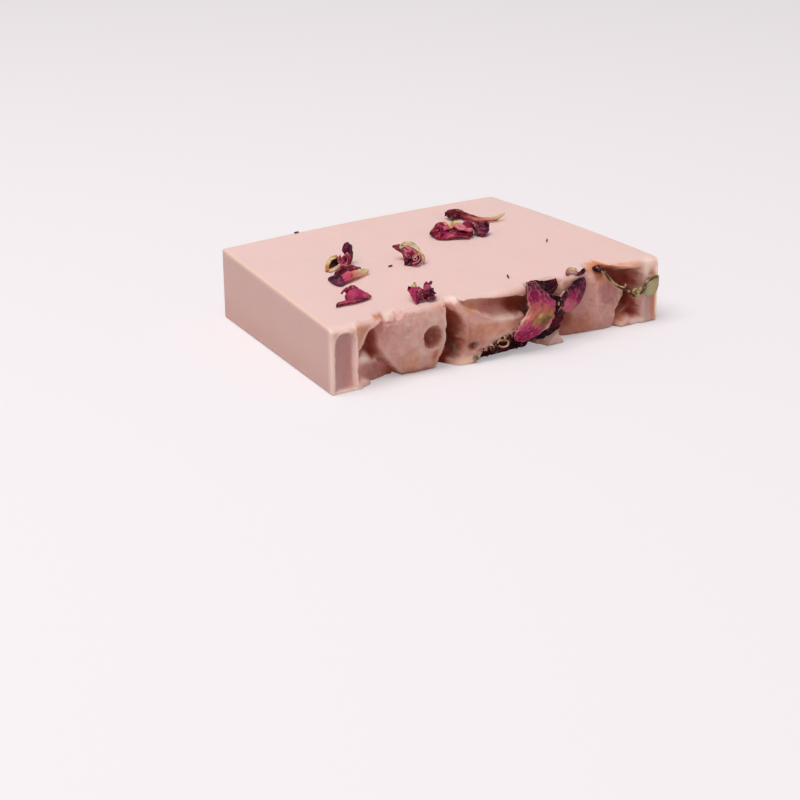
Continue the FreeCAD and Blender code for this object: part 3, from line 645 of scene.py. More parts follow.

# %% Where the batter is stained, and where shade and light are painted on it
# Real stains and painted light share this table. Most dark reds and browns in the gaps, the bubbles and the
# hollows are painted shade, most pale spots on rims, lips, ridges and the mound's top are painted
# highlights, and amber and glow on thin lips are partly painted light coming through.
STAINS_AND_PAINTED_LIGHT = [  # where along the face, how far the stain reaches in X and Z, colour, strength
    ((-41.4, 8.0), (3.2, 9.5), MAUVE, 0.32),
    ((-40.2, 4.6), (1.8, 7.0), FLESH, 0.15),
    ((-37.2, 13.0), (2.4, 2.0), AMBER_STAIN_AND_GLOW, 0.5),
    ((-44.8, 7.0), (1.0, 12.0), PALE_AND_HIGHLIGHT, 0.8),
    ((-38.6, 6.5), (0.8, 9.0), PALE_AND_HIGHLIGHT, 0.6),
    ((-41.5, 14.6), (4.0, 0.9), PALE_AND_HIGHLIGHT, 0.6),
    ((-41.5, 0.1), (4.0, 0.6), PALE_AND_HIGHLIGHT, 0.7),
    ((42.2, 13.6), (3.0, 2.0), PALE_AND_HIGHLIGHT, 0.9),
    ((44.9, 7.0), (0.7, 11.0), PALE_AND_HIGHLIGHT, 0.9),
    ((-31.6, 15.0), (1.6, 1.0), RUST, 0.5),
    ((14.8, 1.6), (2.8, 2.4), PALE_AND_HIGHLIGHT, 0.8),
    ((-28.4, 15.0), (2.6, 0.8), PALE_AND_HIGHLIGHT, 0.8),
    ((-35.4, 6.1), (2.6, 1.0), PALE_AND_HIGHLIGHT, 1.0),
    ((-32.6, 4.9), (2.4, 0.7), PALE_AND_HIGHLIGHT, 0.9),
    ((-33.2, 2.6), (3.4, 2.2), MAUVE, 0.35),
    ((-33.0, 8.4), (0.9, 3.8), BLOOD_RED_SHADE, 0.4),
    ((-32.4, 6.4), (1.2, 1.3), BLOOD_RED_SHADE, 0.3),
    ((-27.6, 11.4), (4.6, 3.4), MAUVE, 0.22),
    ((-31.6, 10.4), (1.6, 3.4), FLESH, 0.35),
    ((-24.0, 8.0), (9.0, 8.0), PALE_AND_HIGHLIGHT, 0.3),
    ((-18.6, 13.0), (3.6, 1.8), PALE_PATCH_AND_HIGHLIGHT, 0.6),
    ((-23.6, 3.4), (1.8, 3.6), AMBER_STAIN_AND_GLOW, 0.5),
    ((-26.2, 3.0), (1.2, 2.0), AMBER_STAIN_AND_GLOW, 0.3),
    ((-28.0, 1.0), (2.6, 1.6), RUST, 0.4),
    ((-22.0, 0.3), (5.4, 0.8), RUST, 0.4),
    ((-21.2, 5.4), (2.2, 1.4), PALE_AND_HIGHLIGHT, 0.55),
    ((-17.6, 3.4), (1.4, 2.4), RUST, 0.6),
    ((-18.7, 8.1), (2.9, 3.0), BROWN_SHADE, 0.75),
    ((-19.9, 7.6), (1.2, 2.4), BLOOD_RED_SHADE, 0.4),
    ((-12.0, 14.6), (2.6, 1.0), PALE_AND_HIGHLIGHT, 1.0),
    ((-13.2, 11.6), (1.6, 2.8), GLOW, 0.6),
    ((-13.0, 11.6), (1.6, 2.8), BROWN_SHADE, 0.6),
    ((-13.2, 9.0), (1.6, 5.0), BLOOD_RED_SHADE, 0.6),
    ((-11.8, 7.2), (1.9, 5.8), BROWN_SHADE, 0.95),
    ((-12.6, 4.6), (1.3, 4.6), DEEP_SHADE, 0.6),
    ((-13.8, 1.6), (1.4, 2.0), BLOOD_RED_SHADE, 0.8),
    ((-9.2, 12.4), (1.8, 1.4), BUTTERY, 0.7),
    ((-10.4, 0.8), (2.8, 1.5), BUTTERY, 0.8),
    ((-8.2, 4.3), (1.7, 1.3), BROWN_SHADE, 0.9),
    ((-7.9, 4.4), (1.2, 0.8), DIRT_AND_SHADE, 0.5),
    ((-6.8, 0.8), (1.5, 1.5), DEEP_SHADE, 0.95),
    ((-5.4, 2.9), (1.8, 0.8), DIRT_AND_SHADE, 0.7),
    ((-4.6, 7.4), (5.6, 2.4), AMBER_STAIN_AND_GLOW, 0.4),
    ((-9.6, 7.0), (1.2, 3.6), BROWN_SHADE, 0.35),
    ((-7.2, 6.0), (3.2, 2.6), BROWN_SHADE, 0.16),
    ((-2.4, 4.2), (1.6, 0.5), DIRT_AND_SHADE, 0.4),
    ((-33.0, 9.8), (1.2, 4.0), MAUVE, 0.5),
    ((-2.8, 5.4), (3.6, 0.8), BUTTERY, 0.5),
    ((2.0, 5.9), (2.4, 0.8), BUTTERY, 0.6),
    ((2.4, 7.2), (2.6, 1.4), AMBER_STAIN_AND_GLOW, 0.35),
    ((-7.6, 12.6), (2.0, 1.4), AMBER_STAIN_AND_GLOW, 0.6),
    ((-4.0, 11.6), (2.4, 1.2), FLESH, 0.3),
    ((0.2, 9.2), (5.4, 0.9), PALE_AND_HIGHLIGHT, 0.6),
    ((4.6, 10.8), (2.8, 2.2), HOLLOW_SHADE, 1.0),
    ((7.0, 10.0), (1.6, 3.4), BROWN_SHADE, 0.9),
    ((5.4, 13.9), (1.8, 1.0), GLOW, 1.0),
    ((-3.0, 14.6), (5.0, 0.8), PALE_AND_HIGHLIGHT, 0.7),
    ((18.4, 12.8), (3.0, 1.8), AMBER_STAIN_AND_GLOW, 0.4),
    ((19.6, 4.2), (2.6, 2.6), BROWN_SHADE, 0.6),
    ((23.0, 2.4), (4.6, 3.2), RUST, 0.3),
    ((27.6, 13.0), (1.8, 2.4), PALE_AND_HIGHLIGHT, 0.5),
    ((31.2, 8.4), (2.8, 3.0), MAUVE, 0.6),
    ((33.6, 6.0), (1.4, 2.4), MAUVE, 0.3),
    ((29.3, 14.7), (2.3, 1.1), AMBER_STAIN_AND_GLOW, 1.0),
    ((29.7, 13.2), (1.6, 1.9), RUST, 0.75),
    ((31.8, 11.6), (1.0, 1.8), AMBER_STAIN_AND_GLOW, 0.4),
    ((33.8, 14.5), (4.2, 1.2), AMBER_STAIN_AND_GLOW, 0.9),
    ((38.0, 14.4), (2.4, 0.9), AMBER_STAIN_AND_GLOW, 0.4),
    ((36.4, 12.0), (4.2, 2.6), BROWN_SHADE, 0.3),
    ((34.6, 11.4), (2.2, 1.4), BLOOD_RED_SHADE, 0.25),
    ((37.8, 9.6), (3.0, 1.5), BLOOD_RED_SHADE, 0.45),
    ((37.2, 6.8), (3.0, 2.0), DEEP_SHADE, 0.6),
    ((40.1, 10.6), (0.6, 3.4), RUST, 0.6),
    ((38.6, 4.8), (1.6, 1.4), BLOOD_RED_SHADE, 0.8),
    ((37.8, 3.4), (2.6, 2.0), BROWN_SHADE, 0.8),
    ((38.4, 2.8), (1.4, 0.9), BLOOD_RED_SHADE, 0.8),
    ((35.0, 2.2), (1.4, 1.2), RUST, 0.6),
    ((38.8, 0.8), (2.4, 0.9), PALE_AND_HIGHLIGHT, 0.7),
    ((43.5, 6.0), (0.8, 9.0), AMBER_STAIN_AND_GLOW, 0.8),
    ((42.0, 5.0), (1.4, 5.0), MAUVE, 0.2),
]
print(len(STAINS_AND_PAINTED_LIGHT), "stains")

# %% Where light comes through
THIN_SPOTS = [  # where along the face, how far it reaches in X and Z, how much light comes through
    ((-44.6, 8.0), (0.9, 9.0), 0.12),
    ((-38.8, 7.0), (0.8, 9.0), 0.16),
    ((-41.5, 14.6), (4.0, 1.0), 0.12),
    ((-41.2, 0.2), (4.5, 0.7), 0.18),
    ((-36.8, 0.8), (2.0, 1.2), 0.12),
    ((-35.6, 5.8), (2.2, 1.2), 0.13),
    ((-10.8, 0.4), (2.8, 1.8), 0.18),
    ((-11.6, 14.8), (1.8, 1.0), 0.14),
    ((0.6, 8.9), (5.0, 0.8), 0.08),
    ((42.4, 13.4), (2.8, 2.2), 0.2),
    ((44.8, 6.5), (0.8, 9.0), 0.3),
    ((38.8, 0.8), (2.4, 0.9), 0.12),
]

print(len(THIN_SPOTS), "thin spots")

# %% Tint of the rough face
patchy = waves(face_x, face_z, 1.6, 31) + 0.6 * waves(face_x, face_z, 0.6, 32)


def spot(place, reach):
    """A soft mask on the face: 1 in the middle, 0 beyond its reach, with a patchy edge."""
    away = ((face_x - place[0]) / reach[0]) ** 2 + ((face_z - place[1]) / reach[1]) ** 2
    return rise(1.3, 0.0, away * (1 + 0.35 * patchy))


# Painted highlight: places standing out from the folds around them are lightened where light catches crests.
crest_highlight = rise(0.05, 0.4, blurred(face, 30) - face)
tint = np.empty(face.shape + (3,))
tint[:] = FOLD[:3]
tint = stained(tint, CUT_PINK, rise(-37.0, -38.6, face_x) + rise(39.6, 40.6, face_x))
tint = stained(tint, MAUVE, 0.22 * rise(0.1, 1.1, patchy) * rise(-38.5, -37.0, face_x))
tint = stained(tint, PALE_PATCH_AND_HIGHLIGHT, 0.45 * rise(-0.2, -1.1, patchy))
veins = rise(0.14, 0.0, np.abs(waves(face_x, face_z, 2.1, 33) + 0.3 * waves(face_x, face_z, 0.8, 34)))
# Painted shade: the deeper a place lies in the folds, the darker and redder it is painted.
tint = soaked(tint, HOLLOW_SHADE, rise(2.4, 4.8, face) * 0.36)
tint = soaked(tint, DEEP_SHADE, rise(4.4, 6.0, face) * 0.2)
tint = stained(tint, CUT_PINK, 0.8 * rise(FRONT_THICKNESS - 1.0, FRONT_THICKNESS - 0.2, face_z))
# The stains lay real colour, painted shade and painted highlights over the tint.
for spot_place, reach, colour, strength in STAINS_AND_PAINTED_LIGHT:
    tint = soaked(tint, colour, strength * spot(spot_place, reach))
tint = stained(tint, PALE_AND_HIGHLIGHT, 0.3 * veins * rise(2.0, 1.2, face) * rise(39.5, 38.5, np.abs(face_x + 0.5)))
tint = np.dstack([blurred(tint[..., channel], 2) for channel in range(3)])
mottle = waves(face_x, face_z, 1.2, 35) + 0.7 * waves(face_x, face_z, 0.6, 36)
middle = between_posts(face_x) * rise(14.8, 13.8, face_z)
tint = stained(tint, PALE_AND_HIGHLIGHT, 0.2 * middle * rise(0.0, 1.2, mottle) * rise(3.0, 1.5, face))
tint = soaked(tint, MAUVE, 0.1 * middle * rise(0.0, -1.2, mottle))
# The painted highlight is weaker in deep folds and near the second peak's ridge.
crest_highlight = crest_highlight * rise(3.0, 1.5, face) * (0.2 + 0.4 * rise(1.5, 3.0, np.abs(face_x + 10.4)))
tint = stained(tint, PALE_PATCH_AND_HIGHLIGHT, crest_highlight)
print("the face's mean tint is", np.round(tint.mean(axis=(0, 1)), 2))

# %% Tint of the whole bar
def keep_colours(mesh, name, colours):
    """Keeps a colour for each vertex in the mesh, under a name."""
    opaque = np.column_stack((colours, np.ones(len(colours))))
    mesh.color_attributes.new(name, "FLOAT_COLOR", "POINT").data.foreach_set("color", opaque.ravel())


def keep_values(mesh, name, values):
    """Keeps a number for each vertex in the mesh, under a name."""
    mesh.attributes.new(name, "FLOAT", "POINT").data.foreach_set("value", values)


on_face = rise(1.6, 0.0, (y - FRONT_Y) - face[column, row])[:, None]
wall = np.maximum(rise(1.5, 0.5, half_width(y) - np.abs(x)), rise(1.5, 0.5, BACK_Y - y))
below_cut = cut_height(x, y) - z
block_tint = stained(np.array(CUT_PINK[:3]) + 0 * on_face, BUTTERY, 0.3 * wall * rise(1.0, 0.0, below_cut))
# Painted shade: the end walls and the back are darkened from below the upper edge down, most of all near the
# table.
low = 0.65 + 0.35 * rise(8.0, 1.0, z)
block_tint = stained(block_tint, FOOT_SHADE, wall * rise(0.4, 1.4, below_cut) * low)
block_tint = soaked(block_tint, AMBER_STAIN_AND_GLOW, 0.7 * crumbled * rise(-30.0, -31.5, x))
block_tint = stained(block_tint, PALE_AND_HIGHLIGHT, crumbled * rise(0.0, 0.5, -waves(x, y, 0.9, 24)))
shade = block_tint * (1 - on_face) + tint[column, row] * on_face
shining = sum(strength * spot(thin_place, reach) for thin_place, reach, strength in THIN_SPOTS)
keep_colours(soap_mesh, "batter", shade)
keep_values(soap_mesh, "folded", on_face[:, 0] * rise(0.4, 1.6, face)[column, row])
keep_values(soap_mesh, "thin", on_face[:, 0] * shining[column, row])
print("tints mixed for", len(shade), "vertices")

# %% Soap
recipe = Recipe("rose clay soap")
place = recipe.coordinates()
clouds = recipe.noise(place, 90.0)
grains = recipe.noise(place, 1500.0, 2.0)
folded = recipe.attribute("folded", "Fac")
colour = recipe.attribute("batter")
colour = recipe.mix(clouds * 0.35, colour, recipe.mix(1.0, colour, paint(236, 226, 222), "MULTIPLY"))
colour = recipe.mix(grains.between(0.66, 0.74) * (0.25 - folded * 0.2), colour, paint(248, 226, 220))
specks = recipe.noise(place, 1300.0, 1.0)
colour = recipe.mix(specks.between(0.7, 0.76) * (folded * 0.6 + 0.1), colour, paint(136, 70, 58))
drag = recipe.noise(recipe.stretched(place, (500.0, 900.0, 220.0)), 1.0, 5.0)
relief = recipe.bump(grains, 0.00008, 0.5, recipe.bump(drag * folded, 0.0004, 0.6))
soap = recipe.node("ShaderNodeBsdfPrincipled", {"subsurface_method": "RANDOM_WALK"}, {
    "Base Color": colour, "Roughness": 0.56 - folded * 0.16 + clouds * 0.06, "Normal": relief,
    "Subsurface Weight": 0.7, "Subsurface Radius": (1.0, 0.4, 0.3), "Subsurface Scale": 0.0006,
    "Emission Color": recipe.mix(recipe.attribute("thin", "Fac"), (0, 0, 0, 1), PALE_AND_HIGHLIGHT),
    "Emission Strength": 1.0, "Specular IOR Level": 0.1, "Coat Roughness": 0.3,
    "Coat Weight": folded * drag.between(0.5, 0.66) * 0.35})
soap_mesh.materials.append(recipe.surface(soap))
soap_mesh.shade_smooth()
print("the soap's material has", len(recipe.tree.nodes), "nodes")


# %% Show the bar
def show(made, node):
    """Lets a finished piece take the place of a CAD node, riding on the bar's body."""
    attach(made, "root")
    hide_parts(node)
    return made


show(add_object("rose_soap_bar", soap_mesh), "soap_bar")
print("bar has", sum(len(face.vertices) - 2 for face in soap_mesh.polygons), "triangles")

# %% [markdown]
# ## Dried petals
# A dried rose petal is a thin leaf that shrank as it dried: its margins pulled into waves, its veins stood
# out and its rim turned pale. Here each leaf starts as a flat grid. Its points are laid between two
# margins, the lines along its two long sides, and then lifted: a bow across the middle, waves along the
# margins, and crinkles that run along the veins. A Solidify modifier gives it its thickness at the end.

# %% Places and smooth lines
PETAL_THICKNESS = 0.24
PETAL_REST = 0.05
PRESSED_REST = 0.2
CRUMB_REST = 0.2


def on_top(*points):
    """Places on the upper cut, from (x, y, height above the cut)."""
    return np.array([(x, y, cut_height(x, y) + height) for x, y, height in points])


def on_front(*points):
    """Places before the rough face, from (x, z, distance in front of its flat plane)."""
    return np.array([(x, FRONT_Y - proud, z) for x, z, proud in points])


def over_face(*points):
    """Places that follow the folds, from (x, z, distance off the soap)."""
    return np.array([(x, FRONT_Y + float(fold_depth(x, z)) - off, z) for x, z, off in points])


def smooth_line(points, shares):
    """Points on the smooth curve through some points, from share 0 at the first to 1 at the last."""
    place = shares * (len(points) - 1)
    span = np.minimum(place.astype(int), len(points) - 2)
    t = (place - span)[:, None]
    before, start = points[np.maximum(span - 1, 0)], points[span]
    end, after = points[span + 1], points[np.minimum(span + 2, len(points) - 1)]
    return (start * 2 + (end - before) * t + (before * 2 - start * 5 + end * 4 - after) * t ** 2
            + (start * 3 - before - end * 3 + after) * t ** 3) * 0.5


def sheet_normals(sheet):
    """Unit normals of a grid of points."""
    normals = np.cross(np.gradient(sheet, axis=0), np.gradient(sheet, axis=1))
    return normals / np.maximum(np.linalg.norm(normals, axis=2, keepdims=True), 1e-9)


print("a petal is", PETAL_THICKNESS, "mm thick")

# %% [markdown]
# The dye of a petal dries unevenly: dark where it was thick, pink where the light came through, and cream
# towards the foot. Each leaf has a line of colours along its length, patches over them and a rim. Over the
# dye go painted shade in the folds between crinkles and a painted highlight along every crinkle that stands
# up. They are mixed at every vertex and kept as a colour attribute.

# %% Petal colours
NIGHT = paint(52, 12, 26)
MAROON = paint(104, 20, 40)
PLUM = paint(112, 34, 72)
WINE = paint(150, 30, 60)
MAGENTA = paint(184, 40, 98)
ROSE = paint(214, 78, 124)
BLUSH = paint(236, 140, 150)
SALMON = paint(226, 122, 104)
BUTTER = paint(252, 224, 172)
OCHRE = paint(196, 148, 66)
BARK = paint(92, 50, 36)
CRUMB = paint(214, 158, 128)
DUSK = paint(178, 84, 108)
OLIVE = paint(122, 106, 52)
SAGE = paint(212, 202, 166)
STRAW = paint(222, 202, 144)
print("night is the darkest of them, butter the palest:", round(NIGHT[1], 3), "and", round(BUTTER[1], 3))

# %% One leaf
STEPS = (56, 28)
RIPPLES = 2.0


def leaf(first, second, colours, seed, steps=STEPS, patches=(), rim=None, rim_width=0.07, pale=0.3,
         bow=0.0, ruffle=0.0, crinkle=0.22, ragged=0.12, tips=(0.0, 0.0)):
    """A dried leaf between two margins: the places and the tint of each of its points.

    u goes along the leaf and v across it, both from 0 to 1. A patch is ((u, v), reach in u and v, colour,
    strength). Each tip is the share of the length over which that end narrows to a round point.
    """
    shares = np.linspace(0, 1, steps[0] + 1)
    start, end = smooth_line(first, shares), smooth_line(second, shares)
    u, v = np.meshgrid(shares, np.linspace(0, 1, steps[1] + 1), indexing="ij")
    side = 2 * v - 1
    length = np.linalg.norm(np.diff((start + end) / 2, axis=0), axis=1).sum()
    breadth = np.linalg.norm(end - start, axis=1).mean()

    # Its width: ragged margins and round tips.
    width = 1 - ragged * (0.5 + 0.5 * waves(u * length / 0.9, np.sign(side) * 3 + 20, 1.0, seed + 50))
    for tip, distance in zip(tips, (u, 1 - u)):
        if tip:
            width = width * np.sqrt(np.clip(1 - (1 - np.clip(distance / tip, 0, 1)) ** 2, 0.0004, 1))
    spread = (0.5 + 0.5 * side * width)[..., None]
    sheet = start[:, None] + (end - start)[:, None] * spread

    # Its lift off the flat: a bow across it, waves along its margins, and crinkles.
    taper = np.sin(np.pi * np.clip(0.12 + 0.76 * u, 0, 1))
    big = 1 - 2 * np.abs(waves(u * length, v * breadth * 1.8, 1.5, seed))
    small = 1 - 2 * np.abs(waves(u * length * 0.6, v * breadth * 2.0, 0.6, seed + 1))
    lift = bow * taper * (1 - side ** 2)
    lift += ruffle * side ** 2 * np.sin(2 * np.pi * (RIPPLES * u + 0.3 * side))
    lift += crinkle * (0.7 * big + 0.3 * small)
    sheet = sheet + sheet_normals(sheet) * lift[..., None]

    # Its tint: the colour line, the patches, painted shade in folds, painted highlights on crinkles, the
    # rim.
    drift = np.clip(u + 0.08 * waves(u * 6, v * 4, 1.0, seed + 7), 0, 1) * (len(colours) - 1)
    stops = np.array([colour[:3] for colour in colours + colours[-1:]])
    stop = np.minimum(drift.astype(int), len(colours) - 1)
    share = (drift - stop)[..., None]
    tint = stops[stop] * (1 - share) + stops[stop + 1] * share
    wander = 0.35 * waves(u * length, v * breadth, 0.9, seed + 9)
    for (at_u, at_v), (reach_u, reach_v), colour, strength in patches:
        reach = np.hypot((u - at_u) / reach_u, (v - at_v) / reach_v)
        tint = stained(tint, colour, strength * rise(1.3, 0.5, reach + wander))
    # Painted shade darkens the low folds of the crinkles, and a painted highlight in blush lightens those
    # that stand up.
    tint = tint * (1 - 0.45 * rise(0.2, -0.9, 0.6 * big + 0.4 * small)[..., None])
    tint = stained(tint, BLUSH, pale * rise(0.55, 1.0, 0.6 * big + 0.4 * small))
    if rim is not None:
        edge = np.minimum(np.minimum(u, 1 - u) * 2, np.minimum(v, 1 - v))
        tint = stained(tint, rim, 0.8 * rise(rim_width, rim_width * 0.3, edge))
    return sheet, tint


print("one leaf has", 2 * STEPS[0] * STEPS[1], "triangles on each side")

# %% Scraps
SCRAP_STEPS = (20, 14)


def scraps(place, reach, count, length, colours, seed):
    """Many small curled leaves dried together into a crumple round a place, all above what carries it."""
    chance = np.random.default_rng(seed)
    leaves = []
    for number in range(count):
        middle = place[0] + np.array(reach) * chance.uniform(-1, 1, 3)
        turn, tilt = chance.uniform(0, 2 * np.pi), chance.uniform(0.6, 1.3)
        along = np.array((math.cos(turn), math.sin(turn), chance.uniform(-0.4, 0.4))) * length / 2
        across = np.array((-math.sin(turn) * math.cos(tilt), math.cos(turn) * math.cos(tilt),
                           math.sin(tilt))) * length * chance.uniform(0.25, 0.45)
        hook = np.cross(along, across) / length * chance.uniform(-1.6, 1.6)
        first = np.array((middle - along - across, middle - across * 1.1 + hook, middle + along - across))
        second = np.array((middle - along * 0.7 + across, middle + across * 1.2 - hook,
                           middle + along * 0.8 + across))
        for margin in (first, second):
            below = cut_height(margin[:, 0], margin[:, 1]) if place[0][2] > FRONT_THICKNESS else 0
            margin[:, 2] = np.maximum(margin[:, 2], below + CRUMB_REST)
        shade = [colours[index] for index in chance.integers(0, len(colours), 3)]
        leaves.append(leaf(first, second, shade, seed + number, SCRAP_STEPS, bow=0.2, ruffle=0.12,
                           crinkle=0.16, ragged=0.35, pale=0.7))
    return leaves


print("the grid of a scrap has", SCRAP_STEPS[0], "by", SCRAP_STEPS[1], "faces")

# %% [markdown]
# Its finish reads that tint and adds what is finer than the grid: veins along the leaf, mottling, a dry
# grain and the soft sheen of a petal's velvet skin.

# %% Petal finish
def petal_finish(name, roughness=0.6, vein_depth=0.00012, sheen=0.1):
    """Dried petal: its attribute gives dye and painted light; darker veins, a fine crinkle and a soft sheen.
    """
    recipe = Recipe(name)
    leaf_map = recipe.coordinates("UV")
    place = recipe.coordinates()
    lines = recipe.noise(recipe.stretched(leaf_map, (3.0, 55.0, 1.0)), 1.0, 4.0, 0.65)
    mottle = recipe.noise(place, 1100.0, 3.0)
    veins = lines.between(0.46, 0.62)
    dye_and_shade = recipe.attribute("dye_and_shade")
    colour = recipe.mix(veins * 0.4, dye_and_shade, recipe.mix(1.0, dye_and_shade, paint(150, 118, 128), "MULTIPLY"))
    colour = recipe.mix(mottle.between(0.52, 0.72) * 0.6, colour,
                        recipe.mix(0.25, colour, paint(250, 190, 196)))
    relief = recipe.bump(mottle, 0.00012, 0.7, recipe.bump(lines, vein_depth, 0.8))
    skin = recipe.node("ShaderNodeBsdfPrincipled", {"subsurface_method": "RANDOM_WALK"}, {
        "Base Color": colour, "Roughness": roughness - mottle * 0.2, "Normal": relief,
        "Subsurface Weight": 0.15, "Subsurface Radius": (1.0, 0.3, 0.3), "Subsurface Scale": 0.0004,
        "Sheen Weight": sheen, "Sheen Roughness": 0.4, "Sheen Tint": paint(240, 150, 180),
        "Specular IOR Level": 0.12})
    return recipe.surface(skin)


FINISHES = {
    "dark_petal": petal_finish("dark dried petal", 0.6, 0.00016, 0.0),
    "magenta_petal": petal_finish("magenta dried petal"),
    "pink_petal": petal_finish("pink dried petal", 0.58, 0.0001),
    "tan_petal": petal_finish("tan dried petal", 0.66, 0.00014, 0.02),
    "green_sepal": petal_finish("dried sepal", 0.5, 0.0001, 0.02),
}
print("finishes:", ", ".join(FINISHES))

# %% Mesh of a leaf
def leaf_mesh(name, sheet, tint):
    """A mesh of one leaf: a flat grid is made, then each vertex goes to its place and gets its dye and
    painted light.
    """
    steps = (sheet.shape[0] - 1, sheet.shape[1] - 1)
    bm = bmesh.new()
    bm.loops.layers.uv.new("leaf")
    bmesh.ops.create_grid(bm, x_segments=steps[0], y_segments=steps[1], size=0.5, calc_uvs=True)
    mesh = finished_mesh(bm, name)
    flat_places = vertex_places(mesh)
    i = np.rint((flat_places[:, 0] + 0.5) * steps[0]).astype(int)
    j = np.rint((flat_places[:, 1] + 0.5) * steps[1]).astype(int)
    mesh.vertices.foreach_set("co", (sheet[i, j] * MM).ravel())
    keep_colours(mesh, "dye_and_shade", tint[i, j])
    mesh.update()
    return mesh


print("a leaf's dye is kept in an attribute, as the batter's tint is")


# %% Making a petal
def shift_to_rest(leaves, rest):
    """How far the leaves of a petal move so that it just rests on the cut, or just clings to the folds."""
    points = np.vstack([sheet.reshape(-1, 3) for sheet, tint in leaves])
    if rest == "cut":
        heights = points[:, 2] - cut_height(points[:, 0], points[:, 1])
        return np.array((0, 0, PETAL_REST + PETAL_THICKNESS / 2 - heights.min()))
    if rest == "folds":
        room = FRONT_Y + fold_depth(points[:, 0], points[:, 2]) - points[:, 1]
        return np.array((0, room.min() - PRESSED_REST, 0))
    return np.zeros(3)


def petal(node, slot, rest, *leaves):
    """One dried petal, made of one or more leaves that hang together, in place of its CAD node."""
    shift = shift_to_rest(leaves, rest)
    bm = bmesh.new()
    for sheet, tint in leaves:
        bm.from_mesh(leaf_mesh(node, sheet + shift, tint))
    mesh = finished_mesh(bm, node)
    mesh.shade_smooth()
    mesh.materials.append(FINISHES[slot])
    made = add_object("rose_" + node, mesh)
    wall = made.modifiers.new("thickness", "SOLIDIFY")
    wall.thickness = PETAL_THICKNESS * MM
    wall.offset = 0
    print(made.name + ", leaves:", len(leaves))
    return show(made, node)


print("petals rest", PETAL_REST, "mm above the cut, so that they don't sink into it")

# %% [markdown]
# ## The heap near the left end
# One petal stands on its foot, a small one is rolled into a ring, a tan one arches over, and two longer
# ones lie in front. A fan-shaped petal lies by itself a little nearer to the rough face.

# %% Upright petal and rolled curl
petal("upright_purple_petal", "dark_petal", "cut",
      leaf(on_top((-19.8, 5.0, 0.2), (-20.2, 4.9, 1.4), (-20.4, 4.8, 2.5), (-20.9, 4.9, 3.3),
                  (-20.6, 5.1, 4.1), (-20.1, 5.3, 4.8), (-19.2, 5.4, 5.1)),
           on_top((-18.5, 5.0, 0.2), (-18.9, 4.6, 1.6), (-19.1, 4.4, 2.7), (-19.2, 4.4, 3.4),
                  (-19.1, 4.5, 4.1), (-18.8, 4.8, 4.6), (-18.9, 5.3, 5.0)),
           [MAROON, PLUM, PLUM, MAROON], 31, crinkle=0.12, pale=0.15),
      leaf(on_top((-18.5, 5.0, 0.2), (-18.9, 4.6, 1.6), (-19.2, 4.4, 2.7), (-19.2, 4.4, 3.4),
                  (-19.1, 4.5, 4.1), (-18.8, 4.8, 4.7)),
           on_top((-18.0, 5.4, 0.2), (-17.7, 5.5, 0.9), (-17.6, 5.6, 2.1), (-17.7, 5.6, 2.8),
                  (-17.6, 5.6, 3.5), (-18.0, 5.5, 4.2)),
           [NIGHT, NIGHT, MAROON, NIGHT], 32, crinkle=0.1, pale=0.05))
petal("small_pink_curl", "pink_petal", "cut",
      leaf(on_top((-22.8, 3.6, 2.7), (-22.8, 3.6, 1.8), (-22.0, 3.6, 0.9), (-21.0, 3.6, 0.7),
                  (-20.3, 3.6, 1.2), (-20.1, 3.6, 2.1), (-20.7, 3.7, 2.9), (-21.4, 3.9, 2.7),
                  (-21.6, 4.0, 2.1), (-21.2, 4.0, 1.5)),
           on_top((-21.6, 5.2, 1.9), (-21.5, 5.2, 1.2), (-20.9, 5.2, 0.6), (-20.1, 5.2, 0.4),
                  (-19.6, 5.2, 0.7), (-19.5, 5.2, 1.4), (-20.0, 5.2, 1.9), (-20.5, 5.2, 1.9),
                  (-20.7, 5.2, 1.5), (-20.4, 5.2, 1.2)),
           [ROSE, BLUSH, ROSE, ROSE, WINE, MAROON], 33, (80, 16), crinkle=0.06, ragged=0.05,
           rim=BLUSH, rim_width=0.12),
      leaf(on_top((-22.5, 4.4, 2.3), (-22.3, 4.4, 1.3), (-21.2, 4.4, 0.7), (-20.1, 4.4, 1.1)),
           on_top((-21.6, 4.7, 2.9), (-21.4, 4.7, 2.2), (-20.9, 4.7, 2.2), (-20.2, 4.7, 2.4)),
           [ROSE, WINE, ROSE, MAROON], 86, bow=0.2, crinkle=0.18, pale=0.6),
      leaf(on_top((-20.9, 3.5, 3.3), (-20.2, 3.5, 2.6), (-19.9, 3.5, 1.6), (-20.3, 3.4, 0.6)),
           on_top((-20.2, 3.9, 3.5), (-19.5, 3.9, 2.7), (-19.2, 3.9, 1.6), (-19.3, 3.8, 0.6)),
           [BLUSH, ROSE, WINE, MAROON], 87, bow=0.2, crinkle=0.08, pale=0.5))

